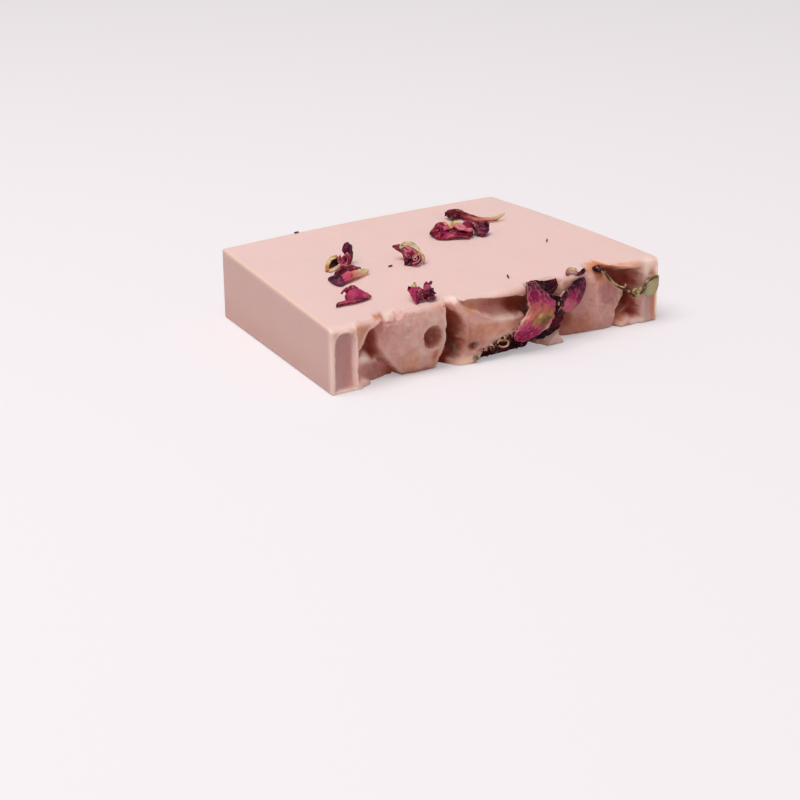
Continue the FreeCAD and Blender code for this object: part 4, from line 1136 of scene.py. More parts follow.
# %% Tan arch
petal("tan_arched_petal", "tan_petal", "cut",
      leaf(on_top((-26.9, 2.4, 0.2), (-26.4, 3.4, 0.7), (-25.6, 4.1, 1.8), (-24.4, 4.2, 2.9),
                  (-23.4, 3.1, 3.4)),
           on_top((-26.3, 2.0, 0.5), (-25.7, 2.9, 1.2), (-24.9, 3.3, 2.0), (-24.1, 3.3, 2.5),
                  (-23.6, 2.8, 2.8)),
           [SALMON, OCHRE, BUTTER, BUTTER, OCHRE], 34, bow=0.25, crinkle=0.08, pale=0.1),
      # This dark leaf under the arch is painted shade: a dark sheet where the inside of the arch lies in
      # shadow.
      leaf(on_top((-26.3, 2.8, 0.4), (-25.6, 3.8, 1.4), (-24.2, 4.2, 2.4), (-22.9, 3.6, 2.9)),
           on_top((-25.5, 2.5, 0.3), (-24.0, 3.3, 0.4), (-22.8, 4.0, 0.5), (-21.6, 4.6, 0.6)),
           [BARK, BARK, NIGHT, MAROON], 35, crinkle=0.1, pale=0.0),
      leaf(on_top((-26.4, 2.1, 0.2), (-25.6, 1.6, 0.2), (-23.6, 2.7, 0.2), (-22.3, 3.6, 0.2)),
           on_top((-26.2, 2.7, 0.6), (-25.1, 2.6, 0.6), (-23.4, 3.5, 0.6), (-22.4, 3.8, 0.6)),
           [BLUSH, BUTTER, BUTTER], 36, crinkle=0.05, tips=(0.1, 0.3), pale=0.1))

# %% Long dark petal and the pink one before it
petal("long_dark_petal", "dark_petal", "cut",
      leaf(on_top((-27.0, -1.6, 0.3), (-24.4, -1.9, 0.4), (-22.5, -2.6, 0.5), (-21.4, -2.8, 0.7),
                  (-20.7, -3.0, 1.1)),
           on_top((-26.0, -0.4, 1.2), (-24.2, -0.7, 2.2), (-22.3, -1.3, 2.3), (-21.3, -2.0, 1.9),
                  (-20.3, -2.2, 1.6)),
           [MAROON, MAROON, WINE, MAROON, OLIVE], 37, bow=0.3, crinkle=0.3, tips=(0.1, 0.15), pale=0.7))
petal("pink_cream_petal", "pink_petal", "cut",
      leaf(on_top((-29.1, -2.9, 0.2), (-29.7, -5.9, 0.2), (-29.1, -8.0, 0.2), (-27.3, -7.2, 0.3),
                  (-26.6, -6.7, 0.5)),
           on_top((-29.0, -2.6, 0.7), (-27.9, -3.6, 1.3), (-27.0, -4.2, 1.6), (-26.5, -4.9, 1.3),
                  (-26.6, -5.9, 1.0)),
           [NIGHT, PLUM, PLUM, MAGENTA], 38, bow=0.2, crinkle=0.18, pale=0.1,
           patches=[((0.25, 0.9), (0.5, 0.5), NIGHT, 1.0)]),
      leaf(on_top((-28.0, -6.7, 0.3), (-27.0, -7.1, 0.3), (-25.0, -6.2, 0.3), (-22.5, -5.3, 0.2),
                  (-19.7, -4.2, 0.2)),
           on_top((-27.0, -4.7, 1.4), (-25.9, -4.9, 2.0), (-24.0, -5.0, 2.1), (-21.4, -4.0, 1.9),
                  (-18.6, -2.9, 1.1)),
           [MAGENTA, ROSE, SALMON, BUTTER, BUTTER], 39, bow=0.3, crinkle=0.2, tips=(0.1, 0.2), pale=0.6,
           patches=[((0.5, 0.1), (0.5, 0.16), WINE, 0.8), ((0.42, 0.5), (0.05, 0.2), WINE, 0.7)]))

# %% Fan petal with its rolled foot
petal("fan_petal", "magenta_petal", "cut",
      leaf(on_top((-32.9, -17.3, 0.3), (-31.8, -18.1, 0.2), (-29.9, -18.2, 0.2), (-28.4, -18.2, 0.2),
                  (-27.1, -17.6, 0.2)),
           on_top((-32.9, -16.4, 1.4), (-31.9, -16.5, 2.5), (-30.4, -16.9, 2.7), (-28.8, -17.3, 1.9),
                  (-27.2, -17.4, 0.6)),
           [MAGENTA, ROSE, MAGENTA, ROSE, DUSK], 40, bow=0.3, crinkle=0.28, tips=(0.0, 0.15),
           pale=0.7),
      # The rose patch along this rolled foot is a painted highlight line on the roll.
      leaf(on_top((-37.0, -18.9, 0.2), (-34.4, -18.7, 0.2), (-31.9, -18.9, 0.2), (-28.1, -18.3, 0.2)),
           on_top((-36.2, -18.2, 0.9), (-34.2, -18.3, 1.0), (-31.9, -18.6, 1.0), (-28.0, -18.1, 0.7)),
           [MAROON, WINE, MAROON, MAROON], 41, bow=0.35, crinkle=0.08, tips=(0.06, 0.3),
           patches=[((0.35, 0.6), (0.35, 0.14), ROSE, 0.9)]),
      leaf(on_top((-33.2, -17.0, 0.5), (-32.9, -16.1, 1.2), (-32.5, -15.8, 1.7), (-33.0, -15.6, 2.1),
                  (-34.2, -16.6, 1.7)),
           on_top((-32.0, -17.1, 0.7), (-31.7, -16.1, 1.3), (-31.4, -16.3, 2.1), (-32.2, -16.3, 3.1),
                  (-33.8, -16.6, 2.7)),
           [WINE, MAROON, WINE, ROSE, MAROON], 42, bow=0.15, crinkle=0.16, tips=(0.0, 0.2), pale=0.7),
      leaf(on_top((-31.8, -15.8, 1.6), (-31.3, -16.3, 1.7), (-30.4, -16.2, 1.8), (-29.4, -16.1, 2.1)),
           on_top((-32.0, -15.6, 2.8), (-31.2, -15.8, 3.3), (-30.6, -15.9, 3.2), (-29.7, -16.0, 2.7)),
           [WINE, MAROON, WINE, ROSE], 43, bow=0.3, crinkle=0.16, tips=(0.2, 0.3), pale=0.7))

# %% [markdown]
# ## The middle of the cut
# A petal rolled up in its sepal lies in the middle. Nearer to the rough face stand a crumpled petal, a
# crinkled brown one and a cream scrap.

# %% Rolled petal and its sepal
petal("rolled_petal", "dark_petal", "cut",
      leaf(on_top((-9.3, 1.5, 2.9), (-8.4, 0.7, 2.1), (-7.5, -0.4, 1.3), (-8.1, -1.6, 0.5),
                  (-9.0, -3.4, 0.2)),
           on_top((-8.9, 1.8, 3.1), (-7.1, 1.5, 3.2), (-6.5, -0.5, 2.9), (-6.3, -2.3, 2.4),
                  (-6.5, -3.7, 1.5)),
           [MAROON, WINE, WINE, NIGHT], 44, bow=0.3, crinkle=0.2, tips=(0.1, 0.0), pale=0.7,
           patches=[((0.5, 0.7), (0.2, 0.07), BLUSH, 0.9), ((0.66, 0.45), (0.2, 0.06), BLUSH, 0.8)]),
      leaf(on_top((-9.2, -3.4, 0.2), (-8.4, -2.6, 0.9), (-7.6, -2.0, 1.7), (-7.0, -1.2, 2.3)),
           on_top((-7.8, -5.1, 0.2), (-7.2, -4.2, 1.2), (-6.6, -3.2, 2.0), (-6.5, -2.0, 2.5)),
           [MAROON, NIGHT, WINE, WINE], 45, bow=0.3, crinkle=0.2,
           patches=[((0.6, 0.5), (0.3, 0.08), BLUSH, 0.8)]),
      leaf(on_top((-7.6, -4.7, 0.2), (-6.4, -5.0, 0.2), (-5.3, -4.6, 0.6), (-4.5, -3.4, 1.2),
                  (-5.2, -2.7, 1.6), (-6.2, -2.8, 1.3), (-7.0, -3.9, 0.8), (-6.5, -4.5, 0.6),
                  (-5.4, -3.9, 0.9), (-5.7, -3.3, 1.2)),
           on_top((-8.3, -5.6, 1.0), (-7.5, -5.8, 1.1), (-6.5, -5.6, 1.4), (-5.8, -4.8, 1.9),
                  (-6.3, -4.1, 2.2), (-7.0, -4.0, 1.9), (-7.4, -4.6, 1.5), (-7.1, -5.0, 1.3),
                  (-6.6, -4.8, 1.5), (-6.7, -4.4, 1.7)),
           [WINE, MAROON, WINE, WINE, SALMON, MAROON], 46, (80, 16), crinkle=0.06, rim=BLUSH,
           rim_width=0.1),
      leaf(on_top((-7.6, -4.4, 0.4), (-6.4, -4.5, 0.4), (-5.4, -4.0, 0.8), (-5.0, -3.4, 1.2)),
           on_top((-7.2, -4.2, 1.4), (-6.6, -4.2, 1.6), (-5.9, -3.9, 1.8), (-5.6, -3.2, 1.9)),
           [MAROON, WINE, SALMON, WINE], 88, bow=0.2, crinkle=0.2, pale=0.5),
      leaf(on_top((-7.4, -0.3, 1.6), (-6.9, -1.2, 1.6), (-6.6, -2.2, 1.6), (-6.2, -3.0, 1.4)),
           on_top((-6.6, 0.6, 3.2), (-5.9, -0.6, 3.2), (-5.5, -1.9, 2.9), (-5.3, -2.9, 2.4)),
           [WINE, ROSE, WINE, SALMON], 89, bow=0.25, crinkle=0.26, pale=0.9,
           patches=[((0.3, 0.5), (0.4, 0.08), BLUSH, 0.9), ((0.6, 0.75), (0.4, 0.07), BLUSH, 0.9)]))
petal("pale_sepal", "green_sepal", "",
      leaf(on_top((-8.0, 0.6, 3.4), (-6.1, 1.8, 3.7), (-4.6, 1.5, 3.8), (-4.3, -0.8, 3.7),
                  (-4.6, -3.5, 2.9), (-4.3, -4.6, 1.8), (-4.7, -5.2, 0.7)),
           on_top((-8.1, -0.3, 3.1), (-7.0, -0.3, 3.3), (-5.9, -1.2, 3.3), (-5.3, -2.2, 3.0),
                  (-5.0, -3.6, 2.5), (-4.7, -4.3, 1.5), (-5.2, -5.2, 0.5)),
           [SAGE, STRAW, SAGE, BUTTER, BUTTER, BLUSH], 47, bow=0.3, crinkle=0.14, tips=(0.2, 0.2), pale=0.1),
      leaf(on_top((-8.0, 0.1, 3.2), (-6.6, 0.9, 3.3), (-5.2, 0.4, 3.3), (-4.7, -1.6, 3.1),
                  (-4.5, -3.4, 2.4), (-4.3, -4.4, 1.4)),
           on_top((-7.6, -0.2, 2.8), (-6.8, -0.2, 2.7), (-5.9, -0.9, 2.5), (-5.4, -2.2, 2.2),
                  (-5.2, -3.4, 1.7), (-4.9, -4.6, 0.8)),
           [SAGE, CRUMB, CRUMB, BUTTER, BUTTER], 90, bow=0.2, crinkle=0.14, pale=0.1))

# %% Crumpled petals near the rough face
petal("magenta_crumpled_petal", "magenta_petal", "cut",
      leaf(on_top((-21.0, -26.7, 0.2), (-21.1, -25.6, 0.9), (-21.1, -24.1, 1.6), (-21.2, -23.1, 2.3),
                  (-20.8, -22.7, 2.8)),
           on_top((-19.9, -26.3, 0.2), (-18.9, -25.6, 0.7), (-18.1, -25.0, 1.4), (-17.9, -24.5, 2.1),
                  (-18.0, -24.0, 2.6)),
           [MAROON, MAGENTA, MAGENTA, ROSE, MAGENTA], 48, bow=0.3, ruffle=0.3, crinkle=0.34,
           ragged=0.2, pale=0.8, patches=[((0.95, 0.05), (0.2, 0.2), MAROON, 0.9)]),
      *scraps(on_top((-19.0, -25.1, 1.4)), (0.8, 0.5, 0.9), 11, 1.6,
              [MAGENTA, WINE, ROSE, DUSK, MAROON], 120))
petal("cream_scrap_petal", "tan_petal", "",
      leaf(on_top((-19.6, -21.7, 0.3), (-19.4, -21.6, 2.3), (-18.9, -21.6, 2.8), (-18.4, -21.6, 3.2)),
           on_top((-18.4, -22.2, 0.3), (-18.1, -22.3, 2.2), (-18.0, -22.2, 2.7), (-18.1, -21.7, 3.3)),
           [BUTTER, BUTTER, BUTTER, BARK], 49, crinkle=0.12, ragged=0.2, pale=0.1))
petal("brown_crinkled_petal", "dark_petal", "cut",
      leaf(on_top((-18.2, -25.2, 0.3), (-17.7, -24.3, 1.3), (-17.0, -23.5, 2.2), (-16.6, -23.1, 3.1),
                  (-16.0, -23.0, 3.4)),
           on_top((-17.4, -26.1, 0.2), (-16.8, -25.1, 1.1), (-16.4, -24.4, 2.1), (-16.0, -24.0, 2.8),
                  (-15.6, -23.6, 3.1)),
           [MAROON, PLUM, WINE, PLUM], 50, bow=0.25, ruffle=0.2, crinkle=0.34, ragged=0.25, pale=0.9),
      leaf(on_top((-18.0, -25.9, 0.2), (-17.0, -25.3, 0.9), (-16.3, -24.9, 1.6), (-15.9, -24.7, 2.1)),
           on_top((-15.5, -25.9, 0.2), (-15.4, -25.4, 0.6), (-15.3, -25.0, 1.2), (-15.4, -24.7, 1.7)),
           [NIGHT, MAROON, NIGHT], 51, bow=0.3, ruffle=0.25, crinkle=0.3, ragged=0.3, pale=0.6),
      leaf(on_top((-18.0, -26.3, 0.2), (-17.0, -26.9, 0.2), (-15.7, -26.3, 0.2)),
           on_top((-17.6, -26.0, 0.7), (-16.7, -26.1, 0.8), (-15.7, -25.9, 0.7)),
           [PLUM, WINE, PLUM], 52, bow=0.2, crinkle=0.25, ragged=0.3, pale=0.8),
      leaf(on_top((-16.1, -23.9, 2.8), (-15.6, -23.8, 3.3), (-15.2, -23.9, 3.5)),
           on_top((-16.1, -24.1, 2.7), (-15.7, -24.6, 3.0), (-15.3, -24.4, 3.3)),
           [PLUM, WINE, MAROON], 53, crinkle=0.15, ragged=0.2, tips=(0.0, 0.3), pale=0.6),
      *scraps(on_top((-17.2, -25.0, 1.7)), (0.8, 0.5, 1.2), 11, 1.5, [DUSK, MAROON, DUSK, ROSE], 140),
      *scraps(on_top((-16.2, -25.4, 1.1)), (0.8, 0.5, 0.7), 8, 1.5, [MAROON, NIGHT, DUSK], 160))

# %% [markdown]
# ## The heap behind the middle
# A long petal tapers to a cream tail. Beside it a big crumpled petal holds a pink one, and a dark petal
# has dried to a ball.

# %% Tapered petal
petal("long_tapered_petal", "dark_petal", "cut",
      leaf(on_top((19.4, 20.6, 0.3), (19.8, 18.7, 0.2), (21.3, 17.5, 0.3), (22.2, 17.5, 0.9)),
           on_top((18.8, 21.0, 1.3), (19.4, 20.1, 2.4), (21.2, 18.8, 2.6), (22.2, 17.9, 2.0)),
           [BARK, MAROON, MAROON], 54, bow=0.4, ruffle=0.2, crinkle=0.35, ragged=0.25,
           tips=(0.2, 0.2), pale=0.4),
      *scraps(on_top((19.9, 19.0, 1.3)), (1.3, 0.8, 0.7), 13, 1.9, [MAROON, BARK, WINE, NIGHT], 180),
      leaf(on_top((20.8, 18.2, 0.4), (21.6, 15.8, 0.3), (22.6, 14.2, 0.2), (24.5, 12.7, 0.2),
                  (27.9, 11.7, 0.4), (30.2, 12.0, 1.2)),
           on_top((21.3, 18.7, 2.2), (22.3, 17.0, 1.9), (23.2, 15.5, 1.5), (24.9, 13.7, 1.1),
                  (27.3, 12.4, 1.2), (30.5, 12.2, 2.0)),
           [MAROON, WINE, SALMON, SALMON, BUTTER, BUTTER], 55, bow=0.35, crinkle=0.14, ragged=0.1,
           tips=(0.1, 0.2), patches=[((0.3, 0.85), (0.3, 0.2), MAROON, 0.9),
                                     ((0.45, 0.08), (0.4, 0.2), WINE, 0.9)]))

# %% Crumpled petal, the pink one over it and the dark ball
petal("maroon_crumpled_petal", "dark_petal", "cut",
      leaf(on_top((7.8, 10.7, 0.2), (7.7, 8.0, 0.2), (8.8, 6.5, 0.2), (12.0, 5.5, 0.2),
                  (14.5, 4.1, 0.2)),
           on_top((7.9, 11.3, 0.5), (9.7, 11.9, 2.6), (11.1, 10.4, 2.9), (12.9, 8.2, 2.3),
                  (14.8, 5.3, 1.4)),
           [NIGHT, WINE, WINE, MAROON, WINE], 56, bow=0.5, ruffle=0.2, crinkle=0.34, tips=(0.12, 0.0),
           pale=0.5, patches=[((0.6, 0.2), (0.3, 0.12), MAGENTA, 0.9),
                              ((0.35, 0.65), (0.15, 0.2), NIGHT, 0.7)]),
      *scraps(on_top((9.3, 8.9, 1.9)), (1.1, 0.6, 0.5), 7, 2.4, [WINE, MAROON, WINE, ROSE], 220),
      *scraps(on_top((12.6, 6.6, 1.6)), (1.6, 0.5, 0.5), 6, 2.2, [WINE, MAROON, NIGHT], 240),
      leaf(on_top((12.9, 5.4, 0.2), (13.8, 4.6, 0.2), (15.6, 4.9, 0.2)),
           on_top((15.5, 8.7, 2.7), (17.2, 8.3, 3.0), (18.0, 7.3, 2.1)),
           [PLUM, WINE, NIGHT], 57, bow=0.3, crinkle=0.25, pale=0.3),
      leaf(on_top((10.7, 9.9, 2.9), (11.1, 8.0, 2.3), (11.6, 7.1, 2.2), (13.0, 7.4, 2.5),
                  (14.1, 6.8, 2.4)),
           on_top((11.2, 10.5, 3.3), (11.9, 9.1, 3.2), (12.8, 9.1, 3.4), (13.6, 8.8, 3.5),
                  (14.6, 7.6, 3.1)),
           [SALMON, BUTTER, OCHRE, BUTTER, SALMON], 58, bow=0.3, crinkle=0.2, ragged=0.3, pale=0.1))
petal("pink_overlapping_petal", "pink_petal", "",
      leaf(on_top((12.2, 7.5, 3.0), (11.9, 6.2, 2.7), (12.6, 5.0, 2.4), (13.8, 4.7, 2.2)),
           on_top((13.2, 7.5, 3.5), (13.4, 6.6, 3.3), (14.0, 6.0, 3.1), (14.4, 5.4, 2.7)),
           [SALMON, BLUSH, BLUSH, ROSE], 59, bow=0.2, crinkle=0.2, ragged=0.3, rim=ROSE),
      leaf(on_top((13.6, 5.2, 2.0), (14.6, 4.4, 1.8), (15.7, 4.6, 1.9)),
           on_top((14.2, 5.6, 2.6), (15.0, 5.0, 2.6), (15.8, 4.9, 2.4)),
           [ROSE, BLUSH, ROSE], 91, bow=0.15, crinkle=0.15, ragged=0.3, pale=0.6))
petal("dark_crumpled_petal", "dark_petal", "cut",
      leaf(on_top((17.2, 6.0, 0.2), (17.4, 4.9, 0.2), (18.2, 3.7, 0.2), (20.6, 5.3, 0.6)),
           on_top((18.1, 7.3, 1.8), (19.1, 6.9, 2.7), (20.0, 6.1, 2.6), (20.4, 5.4, 1.5)),
           [NIGHT, MAROON, PLUM, NIGHT], 60, bow=0.5, ruffle=0.25, crinkle=0.36, ragged=0.2, pale=0.4),
      leaf(on_top((17.6, 7.1, 0.5), (18.2, 7.3, 1.6), (18.7, 7.0, 2.3)),
           on_top((17.9, 4.6, 0.6), (19.2, 4.9, 1.2), (20.0, 5.7, 2.1)),
           [NIGHT, PLUM, NIGHT], 61, bow=-0.3, crinkle=0.3, ragged=0.2, pale=0.4),
      *scraps(on_top((19.0, 6.0, 1.5)), (1.2, 0.6, 0.8), 14, 2.1, [NIGHT, PLUM, MAROON, NIGHT], 200))

# %% Crumbs
FLAKES = [((-12.8, -2.4), (-11.5, -2.0)), ((6.3, -23.3), (7.1, -21.6)), ((28.8, -7.4), (29.9, -6.2)),
          ((-19.6, 29.3), (-18.2, 29.5))]
FLAKE_WIDTH = 0.4
flakes = []
for number, ((start_x, start_y), (end_x, end_y)) in enumerate(FLAKES):
    length = math.hypot(end_x - start_x, end_y - start_y)
    off_x = -(end_y - start_y) / length * FLAKE_WIDTH / 2
    off_y = (end_x - start_x) / length * FLAKE_WIDTH / 2
    flakes.append(leaf(
        on_top((start_x - off_x, start_y - off_y, CRUMB_REST), (end_x - off_x, end_y - off_y, CRUMB_REST)),
        on_top((start_x + off_x, start_y + off_y, CRUMB_REST), (end_x + off_x, end_y + off_y, CRUMB_REST)),
        [PLUM, MAROON, BARK], 70 + number, (12, 8), crinkle=0.1, ragged=0.4, tips=(0.4, 0.5)))
petal("petal_crumbs", "dark_petal", "", *flakes)

# %% [markdown]
# ## Petals in the rough face
# The large pink petal was pressed into the batter and dried there. A dark one lies behind it, laps over
# onto the cut and follows its right side down to the foot.

# %% Thin stems
def strand(points, radius, colours, seed):
    """A thin dry stem along some places: a leaf whose grid is rolled up into a tube."""
    along, around = 90, 8
    shares = np.linspace(0, 1, along + 1)
    line = smooth_line(points, shares)
    heading = np.gradient(line, axis=0)
    heading /= np.linalg.norm(heading, axis=1, keepdims=True)
    aside = np.cross(heading, (0, 1, 0))
    aside /= np.linalg.norm(aside, axis=1, keepdims=True)
    above = np.cross(aside, heading)
    turn = np.linspace(0, 2 * np.pi, around + 1)
    thick = radius * (1 + 0.35 * waves(shares * 14, 0 * shares, 1.0, seed))[:, None, None]
    sheet = line[:, None] + thick * (aside[:, None] * np.cos(turn)[None, :, None]
                                     + above[:, None] * np.sin(turn)[None, :, None])
    tint = leaf(points, points + 0.01, colours, seed, (along, around), pale=0.0)[1]
    # Butter-pale streaks along the stem are painted highlights.
    streak_highlight = rise(0.2, 0.8, waves(shares * 18, 0 * shares, 1.0, seed + 3))[:, None] + 0 * turn
    return sheet, stained(tint, BUTTER, 0.6 * streak_highlight)


print("a stem is a leaf rolled up along its length")

# %% Large pink petal and the dark one behind it
petal("large_pink_petal", "magenta_petal", "",
      leaf(on_front((5.3, 16.6, 1.4), (5.1, 15.4, 1.9), (4.8, 13.7, 2.1), (4.8, 12.2, 2.1),
                    (5.2, 10.6, 2.0), (4.6, 9.0, 1.9), (2.9, 8.1, 1.8), (2.0, 6.6, 1.7),
                    (1.5, 5.0, 1.6), (2.4, 3.4, 1.5)),
           on_front((7.9, 16.4, 1.0), (9.0, 15.1, 1.6), (10.8, 13.6, 2.1), (12.7, 11.6, 2.3),
                    (13.0, 10.4, 2.4), (12.7, 8.9, 2.3), (12.7, 7.2, 2.2), (11.8, 5.4, 2.1),
                    (9.4, 4.5, 2.0), (5.8, 3.2, 1.7)),
           [MAROON, PLUM, MAGENTA, ROSE, ROSE, BLUSH, ROSE, MAGENTA, MAGENTA], 62, (120, 60), bow=0.6,
           ruffle=0.25, crinkle=0.24, ragged=0.16, tips=(0.0, 0.06), rim=BLUSH, rim_width=0.025, pale=0.8,
           patches=[((0.02, 0.7), (0.1, 0.6), NIGHT, 0.9), ((0.2, 0.8), (0.14, 0.2), PLUM, 0.6),
                    ((0.36, 0.5), (0.14, 0.5), ROSE, 0.5), ((0.5, 0.02), (0.2, 0.12), BUTTER, 0.8),
                    ((0.48, 0.4), (0.18, 0.4), SALMON, 0.8), ((0.6, 0.66), (0.15, 0.34), OCHRE, 0.9),
                    ((0.68, 0.76), (0.09, 0.18), OLIVE, 0.85), ((0.56, 0.5), (0.05, 0.1), BUTTER, 0.6),
                    ((0.95, 0.35), (0.16, 0.5), MAGENTA, 0.9), ((0.8, 0.95), (0.1, 0.1), BUTTER, 0.8)]))
petal("dark_petal_behind", "dark_petal", "",
      leaf(on_top((7.3, -28.6, 0.5), (9.1, -28.0, 0.5), (10.3, -28.3, 0.4), (11.9, -29.3, 0.4),
                  (14.4, -30.4, 0.7)),
           on_front((5.9, 15.7, 1.0), (8.4, 15.2, 1.2), (10.3, 14.1, 1.3), (12.7, 12.2, 1.2),
                    (14.8, 14.3, 0.9)),
           [NIGHT, MAROON, NIGHT, NIGHT, MAROON], 63, bow=0.2, crinkle=0.24, ragged=0.16, pale=0.3),
      leaf(on_front((15.6, 11.7, 0.8), (16.7, 9.5, 0.7), (16.1, 7.9, 0.7), (16.6, 6.0, 0.7),
                    (15.5, 4.2, 0.8), (13.2, 2.9, 0.9), (9.6, 2.4, 0.9), (4.7, 2.8, 0.9)),
           on_front((11.4, 12.6, 1.0), (11.4, 10.6, 1.0), (11.2, 8.9, 1.0), (11.0, 7.4, 1.0),
                    (10.0, 6.2, 1.0), (8.5, 5.6, 1.0), (6.0, 4.9, 1.0), (3.4, 4.4, 1.0)),
           [NIGHT, NIGHT, MAROON, NIGHT, NIGHT], 64, (90, 30), bow=0.1, crinkle=0.34, ragged=0.2,
           tips=(0.08, 0.1), pale=0.4))

# %% [markdown]
# To the right a narrow petal shows from under a bridge of soap, with a tan curl and a dark stem above it
# on the edge. In the last hollow hangs a dry green strand that ends in a pale, thin leaf. Under the large
# petal a fringe of torn scraps runs along the foot, pale ones in front and dark ones behind. The dark ones
# and the dark sheet under them stand partly for dark petals and partly for painted shadow under the foot.

# %% Narrow petal
petal("narrow_petal", "magenta_petal", "folds",
      leaf(on_front((15.9, 8.6, 0.6), (18.0, 7.1, 0.6), (20.2, 7.7, 0.5), (21.7, 9.1, 0.4),
                    (23.0, 11.2, 0.2), (23.4, 13.1, 0.1), (22.9, 14.4, 0.1)),
           on_front((15.6, 9.5, 0.7), (16.0, 10.9, 0.7), (17.0, 12.5, 0.7), (18.4, 13.6, 0.6),
                    (19.7, 14.4, 0.5), (21.2, 14.7, 0.4), (22.6, 14.6, 0.2)),
           [BLUSH, ROSE, MAGENTA, PLUM, PLUM, PLUM], 65, (80, 40), bow=0.3, crinkle=0.14, pale=0.6,
           ragged=0.12, patches=[((0.55, 1.0), (0.6, 0.3), NIGHT, 0.95),
                                 ((1.0, 0.5), (0.14, 0.7), MAROON, 0.7),
                                 ((0.2, 0.25), (0.2, 0.4), BLUSH, 0.6)]),
      strand(on_front((16.2, 10.6, 0.5), (15.3, 10.4, 0.9), (15.0, 9.6, 1.0), (15.7, 9.0, 0.9),
                      (15.2, 8.4, 0.8)), 0.09, [BLUSH, BUTTER, BLUSH], 92),
      strand(on_front((16.9, 12.4, 0.6), (16.0, 12.0, 0.9), (15.4, 11.2, 0.9), (15.9, 10.6, 0.9)),
             0.08, [BUTTER, BLUSH, BUTTER], 93))

# %% Scraps on the edge
# This dark scrap is partly a real scrap and partly painted shade: it darkens the hollow under the narrow
# petal.
petal("dark_scrap_petal", "dark_petal", "folds",
      leaf(on_front((15.6, 7.9, 0.3), (16.9, 7.4, 0.2), (18.6, 7.5, 0.1), (20.6, 7.9, -0.1)),
           on_front((15.8, 4.2, 0.3), (17.0, 4.1, 0.2), (18.0, 5.1, 0.1), (19.4, 6.6, -0.1)),
           [NIGHT, BARK, OLIVE], 66, bow=0.1, crinkle=0.25, ragged=0.5, tips=(0.1, 0.3), pale=0.15))
petal("tan_curled_petal", "tan_petal", "cut",
      leaf(on_top((18.7, -28.0, 0.2), (19.7, -27.3, 0.9), (20.5, -27.6, 1.3), (21.3, -28.4, 1.2),
                  (21.4, -29.2, 0.8)),
           on_top((18.6, -29.3, 0.2), (19.4, -28.8, 0.5), (20.0, -28.9, 0.8), (20.5, -29.4, 0.8),
                  (20.9, -29.7, 0.4)),
           [BARK, CRUMB, SAGE, CRUMB], 67, bow=0.25, crinkle=0.12, tips=(0.15, 0.2), pale=0.1,
           patches=[((0.6, 0.9), (0.4, 0.4), SALMON, 0.5)]))
petal("dark_stem_scrap", "dark_petal", "cut",
      leaf(on_top((19.8, -30.2, 0.3), (21.2, -29.8, 0.6), (22.4, -29.4, 0.7), (23.7, -28.8, 0.7)),
           on_top((20.0, -31.2, 0.2), (21.3, -30.9, 0.2), (22.5, -30.5, 0.2), (23.7, -29.6, 0.2)),
           [NIGHT, MAROON, NIGHT, MAROON], 68, (40, 12), bow=0.25, crinkle=0.3, ragged=0.45, pale=0.6))
# The small blush patch on this dark scrap is a painted highlight, its glint.
petal("glossy_dark_scrap", "dark_petal", "folds",
      leaf(over_face((28.0, 14.3, 0.35), (29.3, 13.8, 0.35), (30.6, 13.4, 0.35)),
           over_face((28.2, 15.2, 0.35), (29.3, 15.3, 0.35), (30.3, 15.0, 0.35)),
           [NIGHT, NIGHT, BARK], 69, bow=0.3, crinkle=0.08, tips=(0.3, 0.3), pale=0.0,
           patches=[((0.4, 0.7), (0.1, 0.16), BLUSH, 0.9)]))

# %% Fringe at the foot
FRINGE_PAIRS = 26
fringe = [strand(on_front((-1.4, 3.0, 0.3), (-0.6, 2.6, 0.8), (0.6, 2.7, 0.9), (1.0, 3.6, 0.7),
                          (0.2, 3.9, 0.5)), 0.1, [BLUSH, BUTTER, BLUSH], 94)]
chance = np.random.default_rng(260)
for number in range(FRINGE_PAIRS):
    share = (number + chance.uniform(0, 1)) / FRINGE_PAIRS
    fringe += scraps(on_front((-8.4 + 11.6 * share, 1.3 + 4.0 * share ** 0.8, 0.6)), (0.5, 0.25, 0.4), 1,
                     chance.uniform(0.5, 1.3), [CRUMB, BARK, BUTTER, CRUMB], 300 + 2 * number)
    # The dark scraps behind, and the dark sheet below them, are partly dark petals and partly painted
    # shadow.
    fringe += scraps(on_front((-5.0 + 11.0 * share, 1.6, -1.6)), (0.5, 0.2, 0.7), 1,
                     chance.uniform(1.0, 2.4), [NIGHT, MAROON, BARK, NIGHT], 360 + 2 * number)
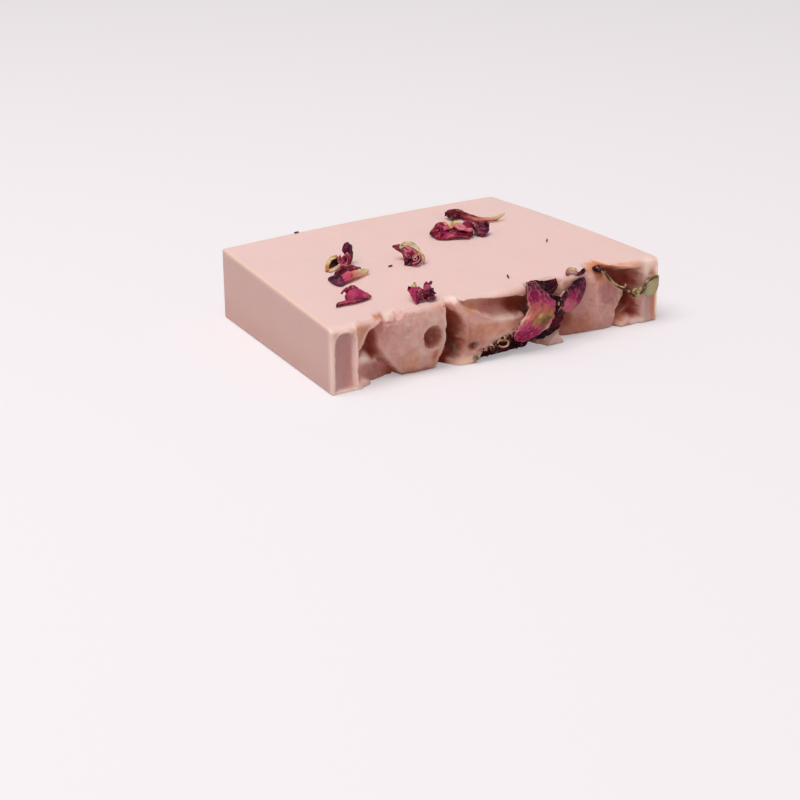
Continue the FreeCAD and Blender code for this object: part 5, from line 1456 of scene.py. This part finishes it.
petal("lower_fringe_petal", "dark_petal", "",
      leaf(on_front((-5.6, 0.3, -1.4), (-2.0, 0.3, -1.6), (3.0, 0.3, -1.6), (8.0, 0.4, -1.2)),
           on_front((-5.2, 1.4, -1.8), (-2.0, 2.6, -2.2), (3.0, 3.2, -2.2), (7.6, 3.2, -1.6)),
           [NIGHT, MAROON, MAROON, NIGHT], 80, bow=0.2, ruffle=0.2, crinkle=0.3, ragged=0.2,
           tips=(0.05, 0.12), pale=0.3),
      *fringe)

# %% Leaf and strand
petal("pale_leaf", "green_sepal", "folds",
      leaf(on_front((39.3, 8.1, 0.5), (40.7, 6.9, 0.5), (43.5, 6.9, 0.4), (44.7, 8.6, 0.2)),
           on_front((40.4, 9.3, 0.6), (41.5, 10.3, 0.6), (43.1, 10.9, 0.5), (44.8, 11.0, 0.2)),
           [OLIVE, SAGE, STRAW, SAGE], 81, crinkle=0.1, ragged=0.1, tips=(0.15, 0.0), pale=0.1,
           patches=[((0.1, 0.5), (0.15, 0.5), OLIVE, 0.6)]))
petal("green_strand", "green_sepal", "folds",
      strand(on_front((29.4, 15.0, -1.6), (30.2, 13.8, -1.6), (31.6, 12.0, -1.6), (33.1, 10.5, -1.2),
                      (35.0, 9.3, -0.7), (36.4, 8.6, -0.2), (37.6, 7.4, 0.4), (39.0, 7.7, 0.6),
                      (40.3, 8.7, 0.6), (40.8, 10.2, 0.6), (42.4, 11.0, 0.6), (44.6, 11.1, 0.4)),
             0.16, [BARK, OLIVE, BARK, OLIVE, OLIVE], 82),
      strand(on_front((29.3, 14.4, -1.7), (31.1, 12.9, -1.8), (32.5, 11.3, -1.5), (34.0, 10.1, -1.1),
                      (35.4, 9.7, -0.8), (35.8, 10.4, -0.8)), 0.12, [STRAW, BUTTER, BLUSH], 83),
      strand(on_front((37.2, 7.8, 0.2), (37.4, 8.9, 0.3), (38.2, 8.9, 0.3), (38.2, 7.8, 0.3)),
             0.14, [OLIVE, STRAW, OLIVE], 84),
      strand(on_front((38.6, 7.5, 0.5), (38.8, 8.8, 0.6), (40.1, 9.2, 0.6), (40.0, 8.1, 0.6),
                      (38.8, 7.5, 0.5)), 0.16, [STRAW, OLIVE, STRAW], 85))
